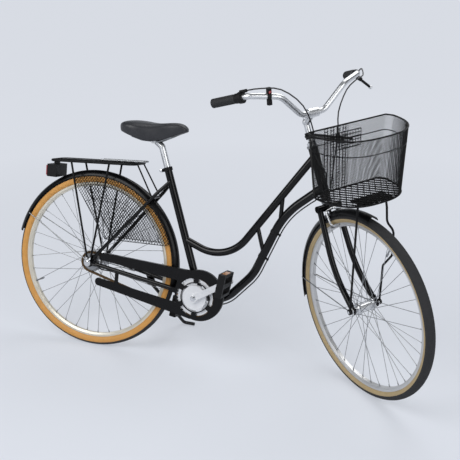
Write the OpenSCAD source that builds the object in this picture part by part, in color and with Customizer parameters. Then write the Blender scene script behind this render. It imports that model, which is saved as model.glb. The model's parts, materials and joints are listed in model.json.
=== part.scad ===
/* Step-through city bicycle, parked on its side stand with the front wheel turned to the right.
   Every piece is drawn on the upright bicycle (X forward, Y left, Z up, middle of the wheelbase on the floor)
   and is then leaned on to the stand. Pieces of the front end are turned about the head tube first. */

/* [Wheels] */
// Distance between the two axles
wheelbase = 1123; // [1060:1:1180]
// Radius from the axle to the middle of the tyre's section
tyre_ring_r = 331; // [325:0.5:336]
// Radius of the tyre's section
tyre_r = 19.5; // [16:0.5:21]
// Outer radius of the rim, where the tyre sits
rim_r = 316; // [312:0.5:317]
// Depth of the rim
rim_depth = 15; // [11:0.5:20]
// Width of the rim
rim_w = 25; // [21:0.5:27]
// Spokes in a wheel, a multiple of four
spoke_count = 36; // [28:4:36]
// Diameter of a spoke
spoke_d = 2; // [1.8:0.1:2.4]
// Radius of the front hub's flanges
front_flange_r = 22; // [18:0.5:30]
// Radius of the rear hub's flanges
rear_flange_r = 41; // [36:0.5:44]

/* [Frame] */
// Length of the chain stays, from crank axle to rear axle
chainstay_l = 463.9; // [455:0.5:480]
// Drop of the crank axle below the wheel axles
bb_drop = 73.5; // [60:0.5:80]
// Seat tube angle
seat_angle = 70; // [68:0.5:72]
// Length of the seat tube
seat_tube_l = 511; // [480:1:540]
// Outer radius of the seat tube
seat_tube_r = 15; // [14.5:0.1:16]
// Head tube angle
head_angle = 69; // [67:0.5:71]
// Length of the head tube
head_tube_l = 197; // [170:1:220]
// Outer radius of the head tube
head_tube_r = 18; // [17:0.1:20]
// Outer radius of the curved upper tube
upper_tube_r = 14.3; // [12:0.1:16]
// Bend radius of the upper tube
upper_bend_r = 155; // [120:1:170]
// Outer radius of the lower tube
lower_tube_r = 15.9; // [14:0.1:17]
// Outer radius of the chain stays
chainstay_r = 8; // [7:0.1:8.5]
// Outer radius of the seat stays
seatstay_r = 7; // [6:0.1:8]
// Outer radius of the crank axle's shell
bb_shell_r = 20; // [19:0.1:23]
// Width of the crank axle's shell
bb_shell_w = 68; // [66:1:70]
// Distance between the rear dropouts' middle planes
rear_drop_w = 120; // [118:1:124]

/* [Fork] */
// Distance of the front axle in front of the steering axis
fork_offset = 60; // [45:1:70]
// Height of the fork crown above the front axle, along the steering axis
fork_l = 383; // [378:1:392]
// Outer radius of a fork blade
blade_r = 11; // [9.5:0.1:11.5]
// Distance between the front dropouts' middle planes
front_drop_w = 105; // [103:1:110]

/* [Cockpit] */
// Height of the handlebar clamp along the steering axis
stem_h = 722; // [700:1:760]
// Forward reach of the stem
stem_reach = 55; // [40:1:80]
// Outer radius of the handlebar
bar_r = 11; // [10.5:0.1:12]
// Half the width of the handlebar
bar_half_w = 300; // [280:1:320]
// Rise of the handlebar's bends above the clamp
bar_rise = 97; // [80:1:110]
// Backward sweep of the handlebar's ends
bar_sweep = 173; // [140:1:200]
// Outer radius of the grips
grip_r = 16; // [14.5:0.1:18]
// Length of a grip
grip_l = 96; // [85:1:105]

/* [Saddle] */
// Length of the saddle
saddle_l = 262; // [240:1:280]
// Width of the saddle
saddle_w = 196; // [170:1:220]
// Thickness of the saddle's pad at the rear
saddle_t = 56; // [45:1:65]
// Height of the saddle's top above the floor
saddle_z = 926; // [900:1:960]

/* [Drive] */
// Teeth of the chainring
ring_teeth = 38; // [36:1:40]
// Teeth of the sprocket
sprocket_teeth = 19; // [18:1:20]
// Pitch of the chain
chain_pitch = 12.7; // [12.7:0.1:12.8]
// Distance of the chain from the middle plane
chain_line = 46.5; // [45:0.5:48]
// Length of a crank arm
crank_l = 165; // [155:1:170]
// Angle of the right crank above the horizontal
crank_angle = 32; // [0:1:90]
// Tilt of the pedals' platforms
pedal_tilt = 82; // [0:1:90]
// Length of a pedal's platform along the bicycle
pedal_l = 88; // [80:1:92]
// Width of a pedal's platform
pedal_w = 92; // [84:1:98]

/* [Guards] */
// Outer radius of a mudguard's section
guard_r = 25; // [23.5:0.1:25.5]
// Wall thickness of a mudguard
guard_t = 1.4; // [1:0.1:2]
// Radius of the chain guard's front disc
case_r = 100; // [96:0.5:106]
// Width of the chain guard's rim
case_depth = 12; // [8:0.5:12]

/* [Rack and basket] */
// Length of the rear rack
rack_l = 372; // [340:1:400]
// Width of the rear rack, between the middles of its rails
rack_w = 112; // [100:1:130]
// Radius of the rack's rods
rack_rod_r = 5; // [4:0.1:6]
// Height of the basket
basket_h = 236; // [210:1:260]
// Half the width of the basket at its rim
basket_half_w = 181; // [165:1:195]
// Depth of the basket at its rim
basket_depth = 193; // [175:1:210]
// Thickness of the basket's wall
basket_t = 2.4; // [1.5:0.1:4]

/* [Stand] */
// Distance of the stand's pivot behind the crank axle
stand_back = 240; // [230:1:260]
// Radius of the stand's leg
stand_r = 7; // [6:0.1:8]
// Length of the stand's foot along the floor
stand_foot_l = 48; // [30:1:60]

/* [Pose] */
// Lean to the left, on to the stand
lean = 14.1; // [12:0.1:16]
// Steering angle, to the right
steer = 40.7; // [0:0.1:45]

/* [Hidden] */
$fn = 40;

// Clearances: between a shaft and its bore, between seated pieces, and the overrun of cuts
run_gap = 0.06;
seat_gap = 0.2;
over = 2;
// Tangent joints of bent tubes: a short gap bridged by a collar just proud of the tube
joint_gap = 0.1;
collar_half = 0.5;
collar_over = 0.05;

// Main points of the upright bicycle
wheel_r = tyre_ring_r + tyre_r;
guard_inset = 11.5;
guard_lip = 5;
guard_ring_r = wheel_r - guard_inset;
guard_lip_r = guard_ring_r + guard_lip;
guard_top_r = guard_ring_r + guard_r;
rear_axle_p = [-wheelbase / 2, 0, wheel_r];
front_axle_p = [wheelbase / 2, 0, wheel_r];
bb_p = rear_axle_p + [sqrt(chainstay_l * chainstay_l - bb_drop * bb_drop), 0, -bb_drop];
seat_dir = [-cos(seat_angle), 0, sin(seat_angle)];
seat_top_p = bb_p + seat_tube_l * seat_dir;
head_dir = [-cos(head_angle), 0, sin(head_angle)];
head_fwd = [sin(head_angle), 0, cos(head_angle)];
head_base = front_axle_p - fork_offset * head_fwd;

// A point of the front end: t along the steering axis, e in front of it, y to the left
function te(t, e, y = 0) = head_base + t * head_dir + e * head_fwd + [0, y, 0];
function unit(v) = v / norm(v);
function flip(p) = [p[0], -p[1], p[2]];
function turn_x(p, a) = [p[0], p[1] * cos(a) - p[2] * sin(a), p[1] * sin(a) + p[2] * cos(a)];
function turn_y(p, a) = [p[0] * cos(a) + p[2] * sin(a), p[1], p[2] * cos(a) - p[0] * sin(a)];
function turn_about(p, k, a) = p * cos(a) + cross(k, p) * sin(a) + k * (k * p) * (1 - cos(a));
function steered(p) = head_base + turn_about(p - head_base, head_dir, -steer);

// Rest pose: both tyres touch the floor once the bicycle leans
function leaned(p, pitch) = turn_x(turn_y(p, pitch), -lean);
function tyre_low(c, a) = c[2] - tyre_ring_r * sqrt(1 - a[2] * a[2]) - tyre_r;
function rear_low(pitch) = tyre_low(leaned(rear_axle_p, pitch), leaned([0, 1, 0], pitch));
function front_low(pitch) = tyre_low(
    leaned(steered(front_axle_p), pitch),
    leaned(turn_about([0, 1, 0], head_dir, -steer), pitch));
function settle_pitch(pitch, steps) = steps == 0 ? pitch
    : settle_pitch(pitch + (front_low(pitch) - rear_low(pitch)) / (wheelbase * PI / 180), steps - 1);
rest_pitch = settle_pitch(0, 12);
rest_lift = -rear_low(rest_pitch);
function unplaced(p) = turn_y(turn_x(p - [0, 0, rest_lift], lean), -rest_pitch);

module in_frame() {
    translate([0, 0, rest_lift]) rotate([-lean, 0, 0]) rotate([0, rest_pitch, 0]) children();
}
module in_steering() {
    in_frame() translate(head_base) rotate(a = -steer, v = head_dir) translate(-head_base) children();
}
// Turns a shape drawn along Z so that it runs along the steering axis from its height t
module on_steering_axis(t) {
    translate(te(t, 0)) rotate([0, head_angle - 90, 0]) children();
}
// Turns a shape drawn along Z so that it runs to the right, for what is drawn in side view
module side_view(y) {
    translate([0, y, 0]) rotate([90, 0, 0]) children();
}
module rod(a, b, r) {
    v = b - a;
    translate(a) rotate([0, acos(v[2] / norm(v)), atan2(v[1], v[0])]) cylinder(h = norm(v), r = r);
}
// Cylinder along Y between two values of y
module cross_rod(p, y0, y1, r) {
    translate([p[0], y1, p[2]]) rotate([90, 0, 0]) cylinder(h = y1 - y0, r = r);
}
module both_sides() {
    children();
    mirror([0, 1, 0]) children();
}

// Bent tube through points, with a bend radius at each inner point
function bend_dir(path, i) = unit(path[i + 1] - path[i]);
function bend_turn(path, i) = acos(max(-1, min(1, bend_dir(path, i - 1) * bend_dir(path, i))));
function bend_cut(path, radii, i) = (i == 0 || i == len(path) - 1) ? 0
    : radii[i - 1] * tan(bend_turn(path, i) / 2);
module bent_tube(path, radii, r) {
    last = len(path) - 1;
    for (i = [0:last - 1]) {
        d = bend_dir(path, i);
        from = path[i] + (bend_cut(path, radii, i) + (i == 0 ? 0 : joint_gap)) * d;
        to = path[i + 1] - (bend_cut(path, radii, i + 1) + (i == last - 1 ? 0 : joint_gap)) * d;
        rod(from, to, r);
    }
    for (i = [1:last - 1]) {
        d_in = bend_dir(path, i - 1);
        d_out = bend_dir(path, i);
        cut = bend_cut(path, radii, i);
        start = path[i] - cut * d_in;
        end = path[i] + cut * d_out;
        inward = unit(d_out - (d_out * d_in) * d_in);
        centre = start + radii[i - 1] * inward;
        axis = cross(-inward, d_in);
        multmatrix([
            [-inward[0], d_in[0], axis[0], centre[0]],
            [-inward[1], d_in[1], axis[1], centre[1]],
            [-inward[2], d_in[2], axis[2], centre[2]],
            [0, 0, 0, 1]
        ]) rotate_extrude(angle = bend_turn(path, i), $fn = 96) translate([radii[i - 1], 0]) circle(r);
        rod(start - collar_half * d_in, start + collar_half * d_in, r + collar_over);
        rod(end - collar_half * d_out, end + collar_half * d_out, r + collar_over);
    }
}

// Cord: a swept tube along a smooth curve through hand-set points
function curve_at(p, i, u) = let(
        a = p[max(i - 1, 0)], b = p[i], c = p[i + 1], d = p[min(i + 2, len(p) - 1)],
        u2 = u * u, u3 = u2 * u)
    ((2 * b) + (c - a) * u + (2 * a - 5 * b + 4 * c - d) * u2 + (3 * b - a - 3 * c + d) * u3) / 2;
function smooth_route(p, parts) = concat(
    [for (i = [0:len(p) - 2], k = [0:parts - 1]) curve_at(p, i, k / parts)], [p[len(p) - 1]]);
function route_dir(p, i) = unit(p[min(i + 1, len(p) - 1)] - p[max(i - 1, 0)]);
function carried(u, d) = unit(u - (u * d) * d);
function ring_sides(p, i, u) = i == len(p) ? []
    : let(s = carried(u, route_dir(p, i))) concat([s], ring_sides(p, i + 1, s));
module cord(route, r, parts = 3, sides = 8) {
    p = smooth_route(route, parts);
    d0 = route_dir(p, 0);
    start = abs(d0[1]) < 0.9 ? [0, 1, 0] : [1, 0, 0];
    us = ring_sides(p, 0, start);
    points = [for (i = [0:len(p) - 1], k = [0:sides - 1])
        let(w = cross(route_dir(p, i), us[i]))
        p[i] + r * (us[i] * cos(360 * k / sides) + w * sin(360 * k / sides))];
    last = len(p) - 1;
    faces = concat(
        [[for (k = [0:sides - 1]) k]],
        [[for (k = [0:sides - 1]) last * sides + sides - 1 - k]],
        [for (i = [0:last - 1], k = [0:sides - 1]) [
            i * sides + k, (i + 1) * sides + k,
            (i + 1) * sides + (k + 1) % sides, i * sides + (k + 1) % sides]]);
    polyhedron(points = points, faces = faces);
}

// Frame tubes, as points of the side view
head_gap = 21;
head_lo = fork_l + head_gap;
head_hi = head_lo + head_tube_l;
upper_join_share = 0.845;
lower_join_share = 0.25;
upper_at_head = te(head_lo + upper_join_share * head_tube_l, 0);
lower_at_head = te(head_lo + lower_join_share * head_tube_l, 0);
seat_join_share = 0.435;
stay_join_share = 0.89;
upper_at_seat = bb_p + seat_join_share * seat_tube_l * seat_dir;
upper_dip = 66;
upper_dip_share = 0.365;
upper_corner = upper_at_seat
    + [upper_dip_share * (upper_at_head[0] - upper_at_seat[0]), 0, -upper_dip];
upper_path = [upper_at_seat, upper_corner, upper_at_head];
// Lower tube: shares of the way from the crank axle to the head tube, along and up
lower_shares = [[0.22, -0.02], [0.47, 0.24], [0.69, 0.755]];
lower_bends = [110, 170, 300];
lower_span = lower_at_head - bb_p;
lower_path = concat(
    [bb_p],
    [for (s = lower_shares) bb_p + [s[0] * lower_span[0], 0, s[1] * lower_span[2]]],
    [lower_at_head]);
// Bridges between upper and lower tube: shares along the straight lengths of both
bridge_r = 8;
bridge_upper_shares = [0.36, 0.65];
bridge_lower_shares = [0.34, 0.88];
upper_straight = upper_at_head - upper_corner;
lower_straight = lower_path[3] - lower_path[2];
// Stays
stay_y = rear_drop_w / 2;
chainstay_y = 23.5;
seatstay_bend_share = 0.86;
seatstay_bend_y = 34.5;
seatstay_end_y = 10;
seatstay_bend_r = 60;
stay_join_p = bb_p + stay_join_share * seat_tube_l * seat_dir;
drop_t = 5;
drop_r = 19;
drop_reach = 34;
axle_r = 4.9;
drop_slot = axle_r + seat_gap;
steerer_r = 12.7;
seat_post_r = 12.9;
bb_bore_r = 17;
head_bore_gap = 1.5;

function stay_point(from, to, share, y) = [
    from[0] + share * (to[0] - from[0]), y, from[2] + share * (to[2] - from[2])];

// Share of a chain stay's own length at a share of the way from rear axle to crank axle
function chain_stay_share(s) = (s * chainstay_l - drop_reach + drop_t) / (chainstay_l - drop_reach + drop_t);
function chain_stay_at(s) = stay_point(
    rear_axle_p, bb_p, s, stay_y + chain_stay_share(s) * (chainstay_y - stay_y));
stay_bridge_r = 5;
tab_l = 6;
seat_bore_l = 150;
bridge_reach = guard_top_r + stay_bridge_r + tab_l;
chain_bridge_share = bridge_reach / norm(bb_p - rear_axle_p);
chain_bridge_p = stay_point(rear_axle_p, bb_p, chain_bridge_share, 0);
chain_bridge_y = stay_y + chain_stay_share(chain_bridge_share) * (chainstay_y - stay_y);
seat_bridge_share = bridge_reach / norm(stay_join_p - rear_axle_p);
seat_bridge_p = stay_point(rear_axle_p, stay_join_p, seat_bridge_share, 0);
seat_bridge_y = stay_y + (seatstay_bend_y - stay_y) * seat_bridge_share / seatstay_bend_share;
module dropout() {
    chain_dir = unit(bb_p - rear_axle_p);
    stay_dir = unit(stay_join_p - rear_axle_p);
    side_view(stay_y + drop_t / 2) linear_extrude(drop_t) difference() {
        union() {
            translate([rear_axle_p[0], rear_axle_p[2]]) circle(drop_r);
            for (d = [chain_dir, stay_dir])
                translate([rear_axle_p[0], rear_axle_p[2]]) rotate(atan2(d[2], d[0]))
                    translate([0, -drop_r / 2]) square([drop_reach, drop_r]);
        }
        translate([rear_axle_p[0], rear_axle_p[2]]) circle(drop_slot);
        translate([rear_axle_p[0] - drop_r - over, rear_axle_p[2] - drop_slot])
            square([drop_r + over, 2 * drop_slot]);
    }
}
module chain_stay_body(r) {
    d = unit(bb_p - rear_axle_p);
    rod(bb_p + [0, chainstay_y, 0], rear_axle_p + (drop_reach - drop_t) * d + [0, stay_y, 0], r);
}
module chain_stay() {
    chain_stay_body(chainstay_r);
}
module seat_stay() {
    d = unit(stay_join_p - rear_axle_p);
    bent_tube([
        rear_axle_p + (drop_reach - drop_t) * d + [0, stay_y, 0],
        stay_point(rear_axle_p, stay_join_p, seatstay_bend_share, seatstay_bend_y),
        stay_join_p + [0, seatstay_end_y, 0]
    ], [seatstay_bend_r], seatstay_r);
}
module frame() {
    color("#17171a") in_frame() difference() {
        union() {
            on_steering_axis(head_lo) cylinder(h = head_tube_l, r = head_tube_r);
            bent_tube(upper_path, [upper_bend_r], upper_tube_r);
            bent_tube(lower_path, lower_bends, lower_tube_r);
            for (i = [0:1])
                rod(upper_corner + bridge_upper_shares[i] * upper_straight,
                    lower_path[2] + bridge_lower_shares[i] * lower_straight, bridge_r);
            rod(bb_p, seat_top_p, seat_tube_r);
            cross_rod(bb_p, -bb_shell_w / 2, bb_shell_w / 2, bb_shell_r);
            both_sides() {
                chain_stay();
                seat_stay();
                dropout();
            }
            cross_rod(chain_bridge_p, -chain_bridge_y, chain_bridge_y, stay_bridge_r);
            cross_rod(seat_bridge_p, -seat_bridge_y, seat_bridge_y, stay_bridge_r);
        }
        on_steering_axis(head_lo - over) cylinder(h = head_tube_l + 2 * over, r = steerer_r + head_bore_gap);
        cross_rod(bb_p, -bb_shell_w, bb_shell_w, bb_bore_r);
        rod(seat_top_p - seat_bore_l * seat_dir, seat_top_p + over * seat_dir, seat_post_r + run_gap);
    }
}

// Headset: two cups in the frame, a race and locknut on the fork
cup_h = 9;
cup_r = 21;
lock_nut_h = 10;
lock_nut_r = 18;
module headset_cups() {
    color("#9a9c9e") in_frame() for (t = [head_lo - cup_h - seat_gap, head_hi + seat_gap])
        on_steering_axis(t) difference() {
            cylinder(h = cup_h, r = cup_r);
            translate([0, 0, -over]) cylinder(h = cup_h + 2 * over, r = steerer_r + run_gap);
        }
}
module headset_nut() {
    color("#b4b6b8") in_steering() on_steering_axis(head_hi + cup_h + 3 * seat_gap) difference() {
        cylinder(h = lock_nut_h, r = lock_nut_r);
        translate([0, 0, -over]) cylinder(h = lock_nut_h + 2 * over, r = steerer_r + run_gap);
    }
}
bb_cup_l = 14;
bb_flange_t = 3;
module bottom_bracket_cups() {
    color("#8e9092") in_frame() both_sides() difference() {
        union() {
            cross_rod(bb_p, bb_shell_w / 2 - bb_cup_l, bb_shell_w / 2 + bb_flange_t, bb_bore_r - run_gap);
            cross_rod(bb_p, bb_shell_w / 2 + seat_gap, bb_shell_w / 2 + bb_flange_t, bb_shell_r);
        }
        cross_rod(bb_p, 0, bb_shell_w, crank_axle_r + run_gap);
    }
}
crank_axle_r = 8;
crank_gap = 15;
crank_in_y = chain_line + crank_gap;
crank_t = 13;

// Seat
clamp_h = 14;
clamp_t = 3;
clamp_ear = 12;
clamp_lip = 1;
clamp_bolt_r = 4;
module seat_clamp() {
    color("#2a2a2c") in_frame() difference() {
        union() {
            rod(seat_top_p - clamp_h * seat_dir, seat_top_p, seat_tube_r + clamp_t);
            translate(seat_top_p - clamp_h / 2 * seat_dir) rotate([0, seat_angle - 90, 0]) {
                translate([-seat_tube_r - clamp_ear, -clamp_ear / 2, -clamp_h / 2 + clamp_lip])
                    cube([clamp_ear, clamp_ear, clamp_h - 2 * clamp_lip]);
                translate([2 * clamp_lip - seat_tube_r - clamp_ear, 0, 0]) rotate([90, 0, 0])
                    cylinder(h = 2 * clamp_ear, r = clamp_bolt_r, center = true);
            }
        }
        rod(seat_top_p - (clamp_h + over) * seat_dir, seat_top_p + over * seat_dir, seat_tube_r + run_gap);
    }
}
post_drop = 78;
post_z = saddle_z - post_drop;
post_top_p = bb_p + (post_z - bb_p[2]) / seat_dir[2] * seat_dir;
rail_y = 22;
rail_r = 3.5;
saddle_back = 164;
saddle_rear_x = post_top_p[0] - saddle_back;
// Head of the seat post: its place, radius and cheeks outside the rails
head_back = 22;
head_up = 8;
head_r = 11;
head_cheek = 7;
post_bend_r = 24;
post_bend_drop = 14;
rail_up = 6;
rail_z = post_z + rail_up;
rail_shares = [0.2, 0.8];
rail_ramps = [40, 50];
rail_spread = 12;
rail_taper = 10;
rail_bend_r = 20;
rail_front_up = 10;
saddle_low_z = saddle_z - saddle_t;
rail_top_z = saddle_low_z - rail_r - seat_gap;
module seat_post() {
    color("#c9cacb") in_frame() {
        bent_tube([
            seat_top_p - (seat_bore_l - over) * seat_dir,
            post_top_p - post_bend_drop * seat_dir,
            post_top_p + [-head_back, 0, rail_up]
        ], [post_bend_r], seat_post_r);
        difference() {
            cross_rod(
                post_top_p + [-head_back, 0, head_up], -rail_y - head_cheek, rail_y + head_cheek, head_r);
            for (y = [-rail_y, rail_y])
                rod([saddle_rear_x, y, rail_z], [saddle_rear_x + saddle_l, y, rail_z], rail_r + run_gap);
        }
    }
}
module saddle_rails() {
    back = saddle_rear_x + rail_shares[0] * saddle_l;
    front = saddle_rear_x + rail_shares[1] * saddle_l;
    color("#8a8b8d") in_frame() both_sides() bent_tube([
        [back, rail_y + rail_spread, rail_top_z],
        [back + rail_ramps[0], rail_y, rail_z],
        [front - rail_ramps[1], rail_y, rail_z],
        [front, rail_y - rail_taper, rail_top_z + rail_front_up]
    ], [rail_bend_r, rail_bend_r], rail_r);
}
// Saddle: pairs of balls joined in turn; shares of length, of half-width, of thickness down, and radius
saddle_row_shares = [
    [0.107, 0.714, 0.5, 0.5], [0.3, 0.694, 0.5, 0.48], [0.6, 0.265, 0.6, 0.4],
    [0.8, 0.102, 0.5, 0.321], [0.943, 0.051, 0.464, 0.268]];
module saddle_row(s) {
    both_sides() translate([
        saddle_rear_x + s[0] * saddle_l, s[1] * saddle_w / 2, saddle_z - s[2] * saddle_t
    ]) sphere(s[3] * saddle_t, $fn = 32);
}
module saddle() {
    color("#2c2d2f") in_frame() for (i = [0:len(saddle_row_shares) - 2]) hull() {
        saddle_row(saddle_row_shares[i]);
        saddle_row(saddle_row_shares[i + 1]);
    }
}

// Mudguards: an arched strip swept about the axle
module guard_sweep(p, from, to) {
    translate(p) rotate([90, 0, 0]) rotate([0, 0, from]) rotate_extrude(angle = to - from, $fn = 120)
        difference() {
            translate([guard_ring_r, 0]) circle(guard_r);
            translate([guard_ring_r, 0]) circle(guard_r - guard_t);
            translate([0, -guard_r - over]) square([guard_lip_r, 2 * (guard_r + over)]);
        }
}
rear_guard_from = -12;
rear_guard_to = 167;
front_guard_from = 81;
front_guard_to = 192;
function guard_point(p, angle, y) = p + [guard_lip_r * cos(angle), y, guard_lip_r * sin(angle)];
tab_r = 5;
// Short post from the top of a mudguard to the round bar that carries it
module guard_tab(axle, bar, bar_r) {
    d = unit(bar - axle);
    rod(axle + (guard_ring_r + guard_r - guard_t) * d, bar - (bar_r + seat_gap) * d, tab_r);
}
module rear_mudguard() {
    color("#1b1b1d") in_frame() {
        guard_sweep(rear_axle_p, rear_guard_from, rear_guard_to);
        for (b = [chain_bridge_p, seat_bridge_p]) guard_tab(rear_axle_p, b, stay_bridge_r);
    }
}
module front_mudguard() {
    color("#1b1b1d") in_steering() {
        guard_sweep(front_axle_p, front_guard_from, front_guard_to);
        guard_tab(front_axle_p, te(crown_at, 0), crown_r);
    }
}
stay_wire_r = 2;
rear_stay_turn = 153;
front_stay_turn = 178;
guard_stay_y = guard_r + stay_wire_r + seat_gap;
module rear_mudguard_stays() {
    color("#b9bbbd") in_frame() both_sides()
        rod(guard_point(rear_axle_p, rear_stay_turn, guard_stay_y),
            rear_axle_p + rear_stay_foot, stay_wire_r);
}
module front_mudguard_stays() {
    color("#b9bbbd") in_steering() both_sides()
        rod(guard_point(front_axle_p, front_stay_turn, guard_stay_y),
            front_axle_p + front_stay_foot, stay_wire_r);
}
rear_nut_y = stay_y + drop_t / 2 + stay_wire_r + 5 * seat_gap;
front_nut_y = front_drop_w / 2 + drop_t / 2 + stay_wire_r + seat_gap;
rear_stay_foot = [-14, rear_nut_y, 9];
front_stay_foot = [-12, front_nut_y, -8];

// Skirt guards: mesh panels beside the upper front of the rear wheel
skirt_y = 29.4;
skirt_t = 1.2;
skirt_inset = 8;
skirt_r = wheel_r - skirt_inset;
skirt_steps = 6;
skirt_cut_share = 1.2;
skirt_from = 19;
skirt_to = 109;
skirt_inner_shares = [[0.135, 0.28], [0.9, 0.335]];
module skirt_outline() {
    translate([rear_axle_p[0], rear_axle_p[2]]) intersection() {
        circle(skirt_r, $fn = 120);
        polygon(concat(
            [for (s = skirt_inner_shares) skirt_r * s],
            [for (i = [0:skirt_steps]) let(a = skirt_from + i * (skirt_to - skirt_from) / skirt_steps)
                skirt_cut_share * skirt_r * [cos(a), sin(a)]]));
    }
}
module skirt_panel() {
    side_view(skirt_y + skirt_t) linear_extrude(skirt_t) skirt_outline();
}
module skirt_guard_right() {
    color("#242426") in_frame() mirror([0, 1, 0]) skirt_panel();
}
module skirt_guard_left() {
    color("#242426") in_frame() skirt_panel();
}

// Rear rack
rack_back = 204;
rack_up = 387;
rack_rear_x = rear_axle_p[0] - rack_back;
rack_rear_z = wheel_r + rack_up;
rack_tilt = 3.2;
function rack_p(s, y, dz = 0) = [
    rack_rear_x + s * rack_l * cos(rack_tilt), y, rack_rear_z + s * rack_l * sin(rack_tilt) + dz];
rack_y = rack_w / 2;
rack_leg_shares = [0.26, 0.71];
rack_bar_shares = [0.16, 0.5, 0.84];
rack_mid_share = 0.5;
rack_bend_r = 26;
rack_bar_r = 4;
rack_leg_r = 4;
rack_foot_x = 8;
rack_foot_z = 17;
rack_foot_y = stay_y + drop_t / 2 + rack_leg_r + 4 * seat_gap;
deck_w = 44;
deck_t = 6;
deck_shares = [0.08, 0.5, 0.94];
deck_gap = rack_bar_r;
strut_r = 3;
strut_y = 28;
strut_share = 0.93;
strut_line = [
    rear_axle_p + (drop_reach - drop_t) * unit(stay_join_p - rear_axle_p) + [0, stay_y, 0],
    stay_point(rear_axle_p, stay_join_p, seatstay_bend_share, seatstay_bend_y)];
strut_seat = strut_line[0] + strut_share * (strut_line[1] - strut_line[0]);
strut_foot = strut_seat - (seatstay_r + strut_r / 2 + seat_gap) * unit(strut_seat - rack_p(1, strut_y));
module rear_rack() {
    color("#1e1e20") in_frame() {
        both_sides() {
            for (end = [0, 1]) {
                half_loop = [rack_p(rack_mid_share, rack_y), rack_p(end, rack_y), rack_p(end, 0)];
                bent_tube(half_loop, [rack_bend_r], rack_rod_r);
            }
            for (i = [0:1])
                rod(rack_p(rack_leg_shares[i], rack_y),
                    rear_axle_p + [(2 * i - 1) * rack_foot_x, rack_foot_y, rack_foot_z], rack_leg_r);
            rod(rack_p(1, strut_y), strut_foot, strut_r);
        }
        for (s = rack_bar_shares) rod(rack_p(s, -rack_y), rack_p(s, rack_y), rack_bar_r);
        for (i = [0:1])
            translate(rack_p(deck_shares[i], 0)) rotate([0, -rack_tilt, 0])
                translate([i * deck_gap / 2, -deck_w / 2, 0])
                    cube([(deck_shares[i + 1] - deck_shares[i]) * rack_l - deck_gap / 2, deck_w, deck_t]);
    }
}
clip_r = 3;
clip_y = 15;
clip_bend_r = 12;
clip_shares = [0.55, 1.08];
clip_z = deck_t + clip_r + seat_gap;
module rack_clip() {
    color("#d0d1d2") in_frame() bent_tube([
        rack_p(clip_shares[0], -clip_y, clip_z), rack_p(clip_shares[1], -clip_y, clip_z),
        rack_p(clip_shares[1], clip_y, clip_z), rack_p(clip_shares[0], clip_y, clip_z)
    ], [clip_bend_r, clip_bend_r], clip_r);
}
// Rear light: lower rear corner of its body, in the middle of its width
light_back = 20;
light_drop = 68;
light_size = [42, 84, 50];
light_strap = [10, 30];
lens_depth = 12;
lens_proud = 8;
lens_low = 4;
lens_size = [72, 40];
light_p = [rack_rear_x - light_back, 0, rack_rear_z - light_drop];
module rear_light() {
    strap_z = light_p[2] + light_size[2] - over / 2;
    color("#151517") in_frame() {
        difference() {
            translate(light_p - [0, light_size[1] / 2, 0]) cube(light_size);
            translate(light_p + [-over, -lens_size[0] / 2, lens_low])
                cube([lens_depth + over, lens_size[0], lens_size[1]]);
        }
        translate([rack_rear_x - light_strap[0] / 2, -light_strap[1] / 2, strap_z])
            cube([light_strap[0], light_strap[1], rack_rear_z - rack_rod_r - seat_gap - strap_z]);
    }
}
module rear_light_lens() {
    color("#8e2b2b") in_frame()
        translate(light_p + [-lens_proud, -lens_size[0] / 2 + seat_gap, lens_low + seat_gap])
            cube([
                lens_proud + lens_depth - seat_gap,
                lens_size[0] - 2 * seat_gap,
                lens_size[1] - 2 * seat_gap
            ]);
}

// Drive: sprocket, chainring, chain
ring_r = chain_pitch / (2 * sin(180 / ring_teeth));
sprocket_r = chain_pitch / (2 * sin(180 / sprocket_teeth));
chain_slope = atan2(bb_p[2] - rear_axle_p[2], bb_p[0] - rear_axle_p[0]);
wrap_extra = asin((ring_r - sprocket_r) / chainstay_l);
run_l = chainstay_l * cos(wrap_extra);
ring_wrap_l = ring_r * (180 + 2 * wrap_extra) * PI / 180;
sprocket_wrap_l = sprocket_r * (180 - 2 * wrap_extra) * PI / 180;
loop_l = 2 * run_l + ring_wrap_l + sprocket_wrap_l;
link_count = 2 * round(loop_l / (2 * chain_pitch));
link_l = loop_l / link_count;
function polar(r, a) = [r * cos(a), r * sin(a)];
// Point on the chain's loop, from the top of the sprocket forwards, with the sprocket at zero
function chain_pt(s) =
    s < run_l ? polar(sprocket_r, 90 + wrap_extra) + polar(s, wrap_extra)
    : s < run_l + ring_wrap_l
        ? [chainstay_l, 0] + polar(ring_r, 90 + wrap_extra - (s - run_l) / ring_r * 180 / PI)
    : s < 2 * run_l + ring_wrap_l
        ? [chainstay_l, 0] + polar(ring_r, -90 - wrap_extra)
            + polar(s - run_l - ring_wrap_l, 180 - wrap_extra)
    : polar(sprocket_r, -90 - wrap_extra - (s - 2 * run_l - ring_wrap_l) / sprocket_r * 180 / PI);
plate_t = 1.1;
inner_y = 1.6;
plate_gap = 0.3;
outer_y = inner_y + plate_t + plate_gap;
plate_r = 4;
roller_r = 3.6;
module link_plate(l, y) {
    for (s = [-1, 1]) translate([-plate_r, -plate_r, s * (y + plate_t / 2) - plate_t / 2])
        cube([l + 2 * plate_r, 2 * plate_r, plate_t]);
}
module chain() {
    color("#6d5236") in_frame() side_view(-chain_line) translate([rear_axle_p[0], rear_axle_p[2], 0])
        rotate(chain_slope) for (i = [0:link_count - 1]) {
            p = chain_pt((i + 0.5) * link_l);
            q = chain_pt((i + 1.5 >= link_count ? i + 1.5 - link_count : i + 1.5) * link_l);
            d = q - p;
            translate(p) rotate(atan2(d[1], d[0])) link_plate(norm(d), i % 2 == 0 ? inner_y : outer_y);
        }
}
tooth_t = 2.2;
tooth_foot = 2.1;
tooth_shares = [0.7, 0.3];
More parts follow.
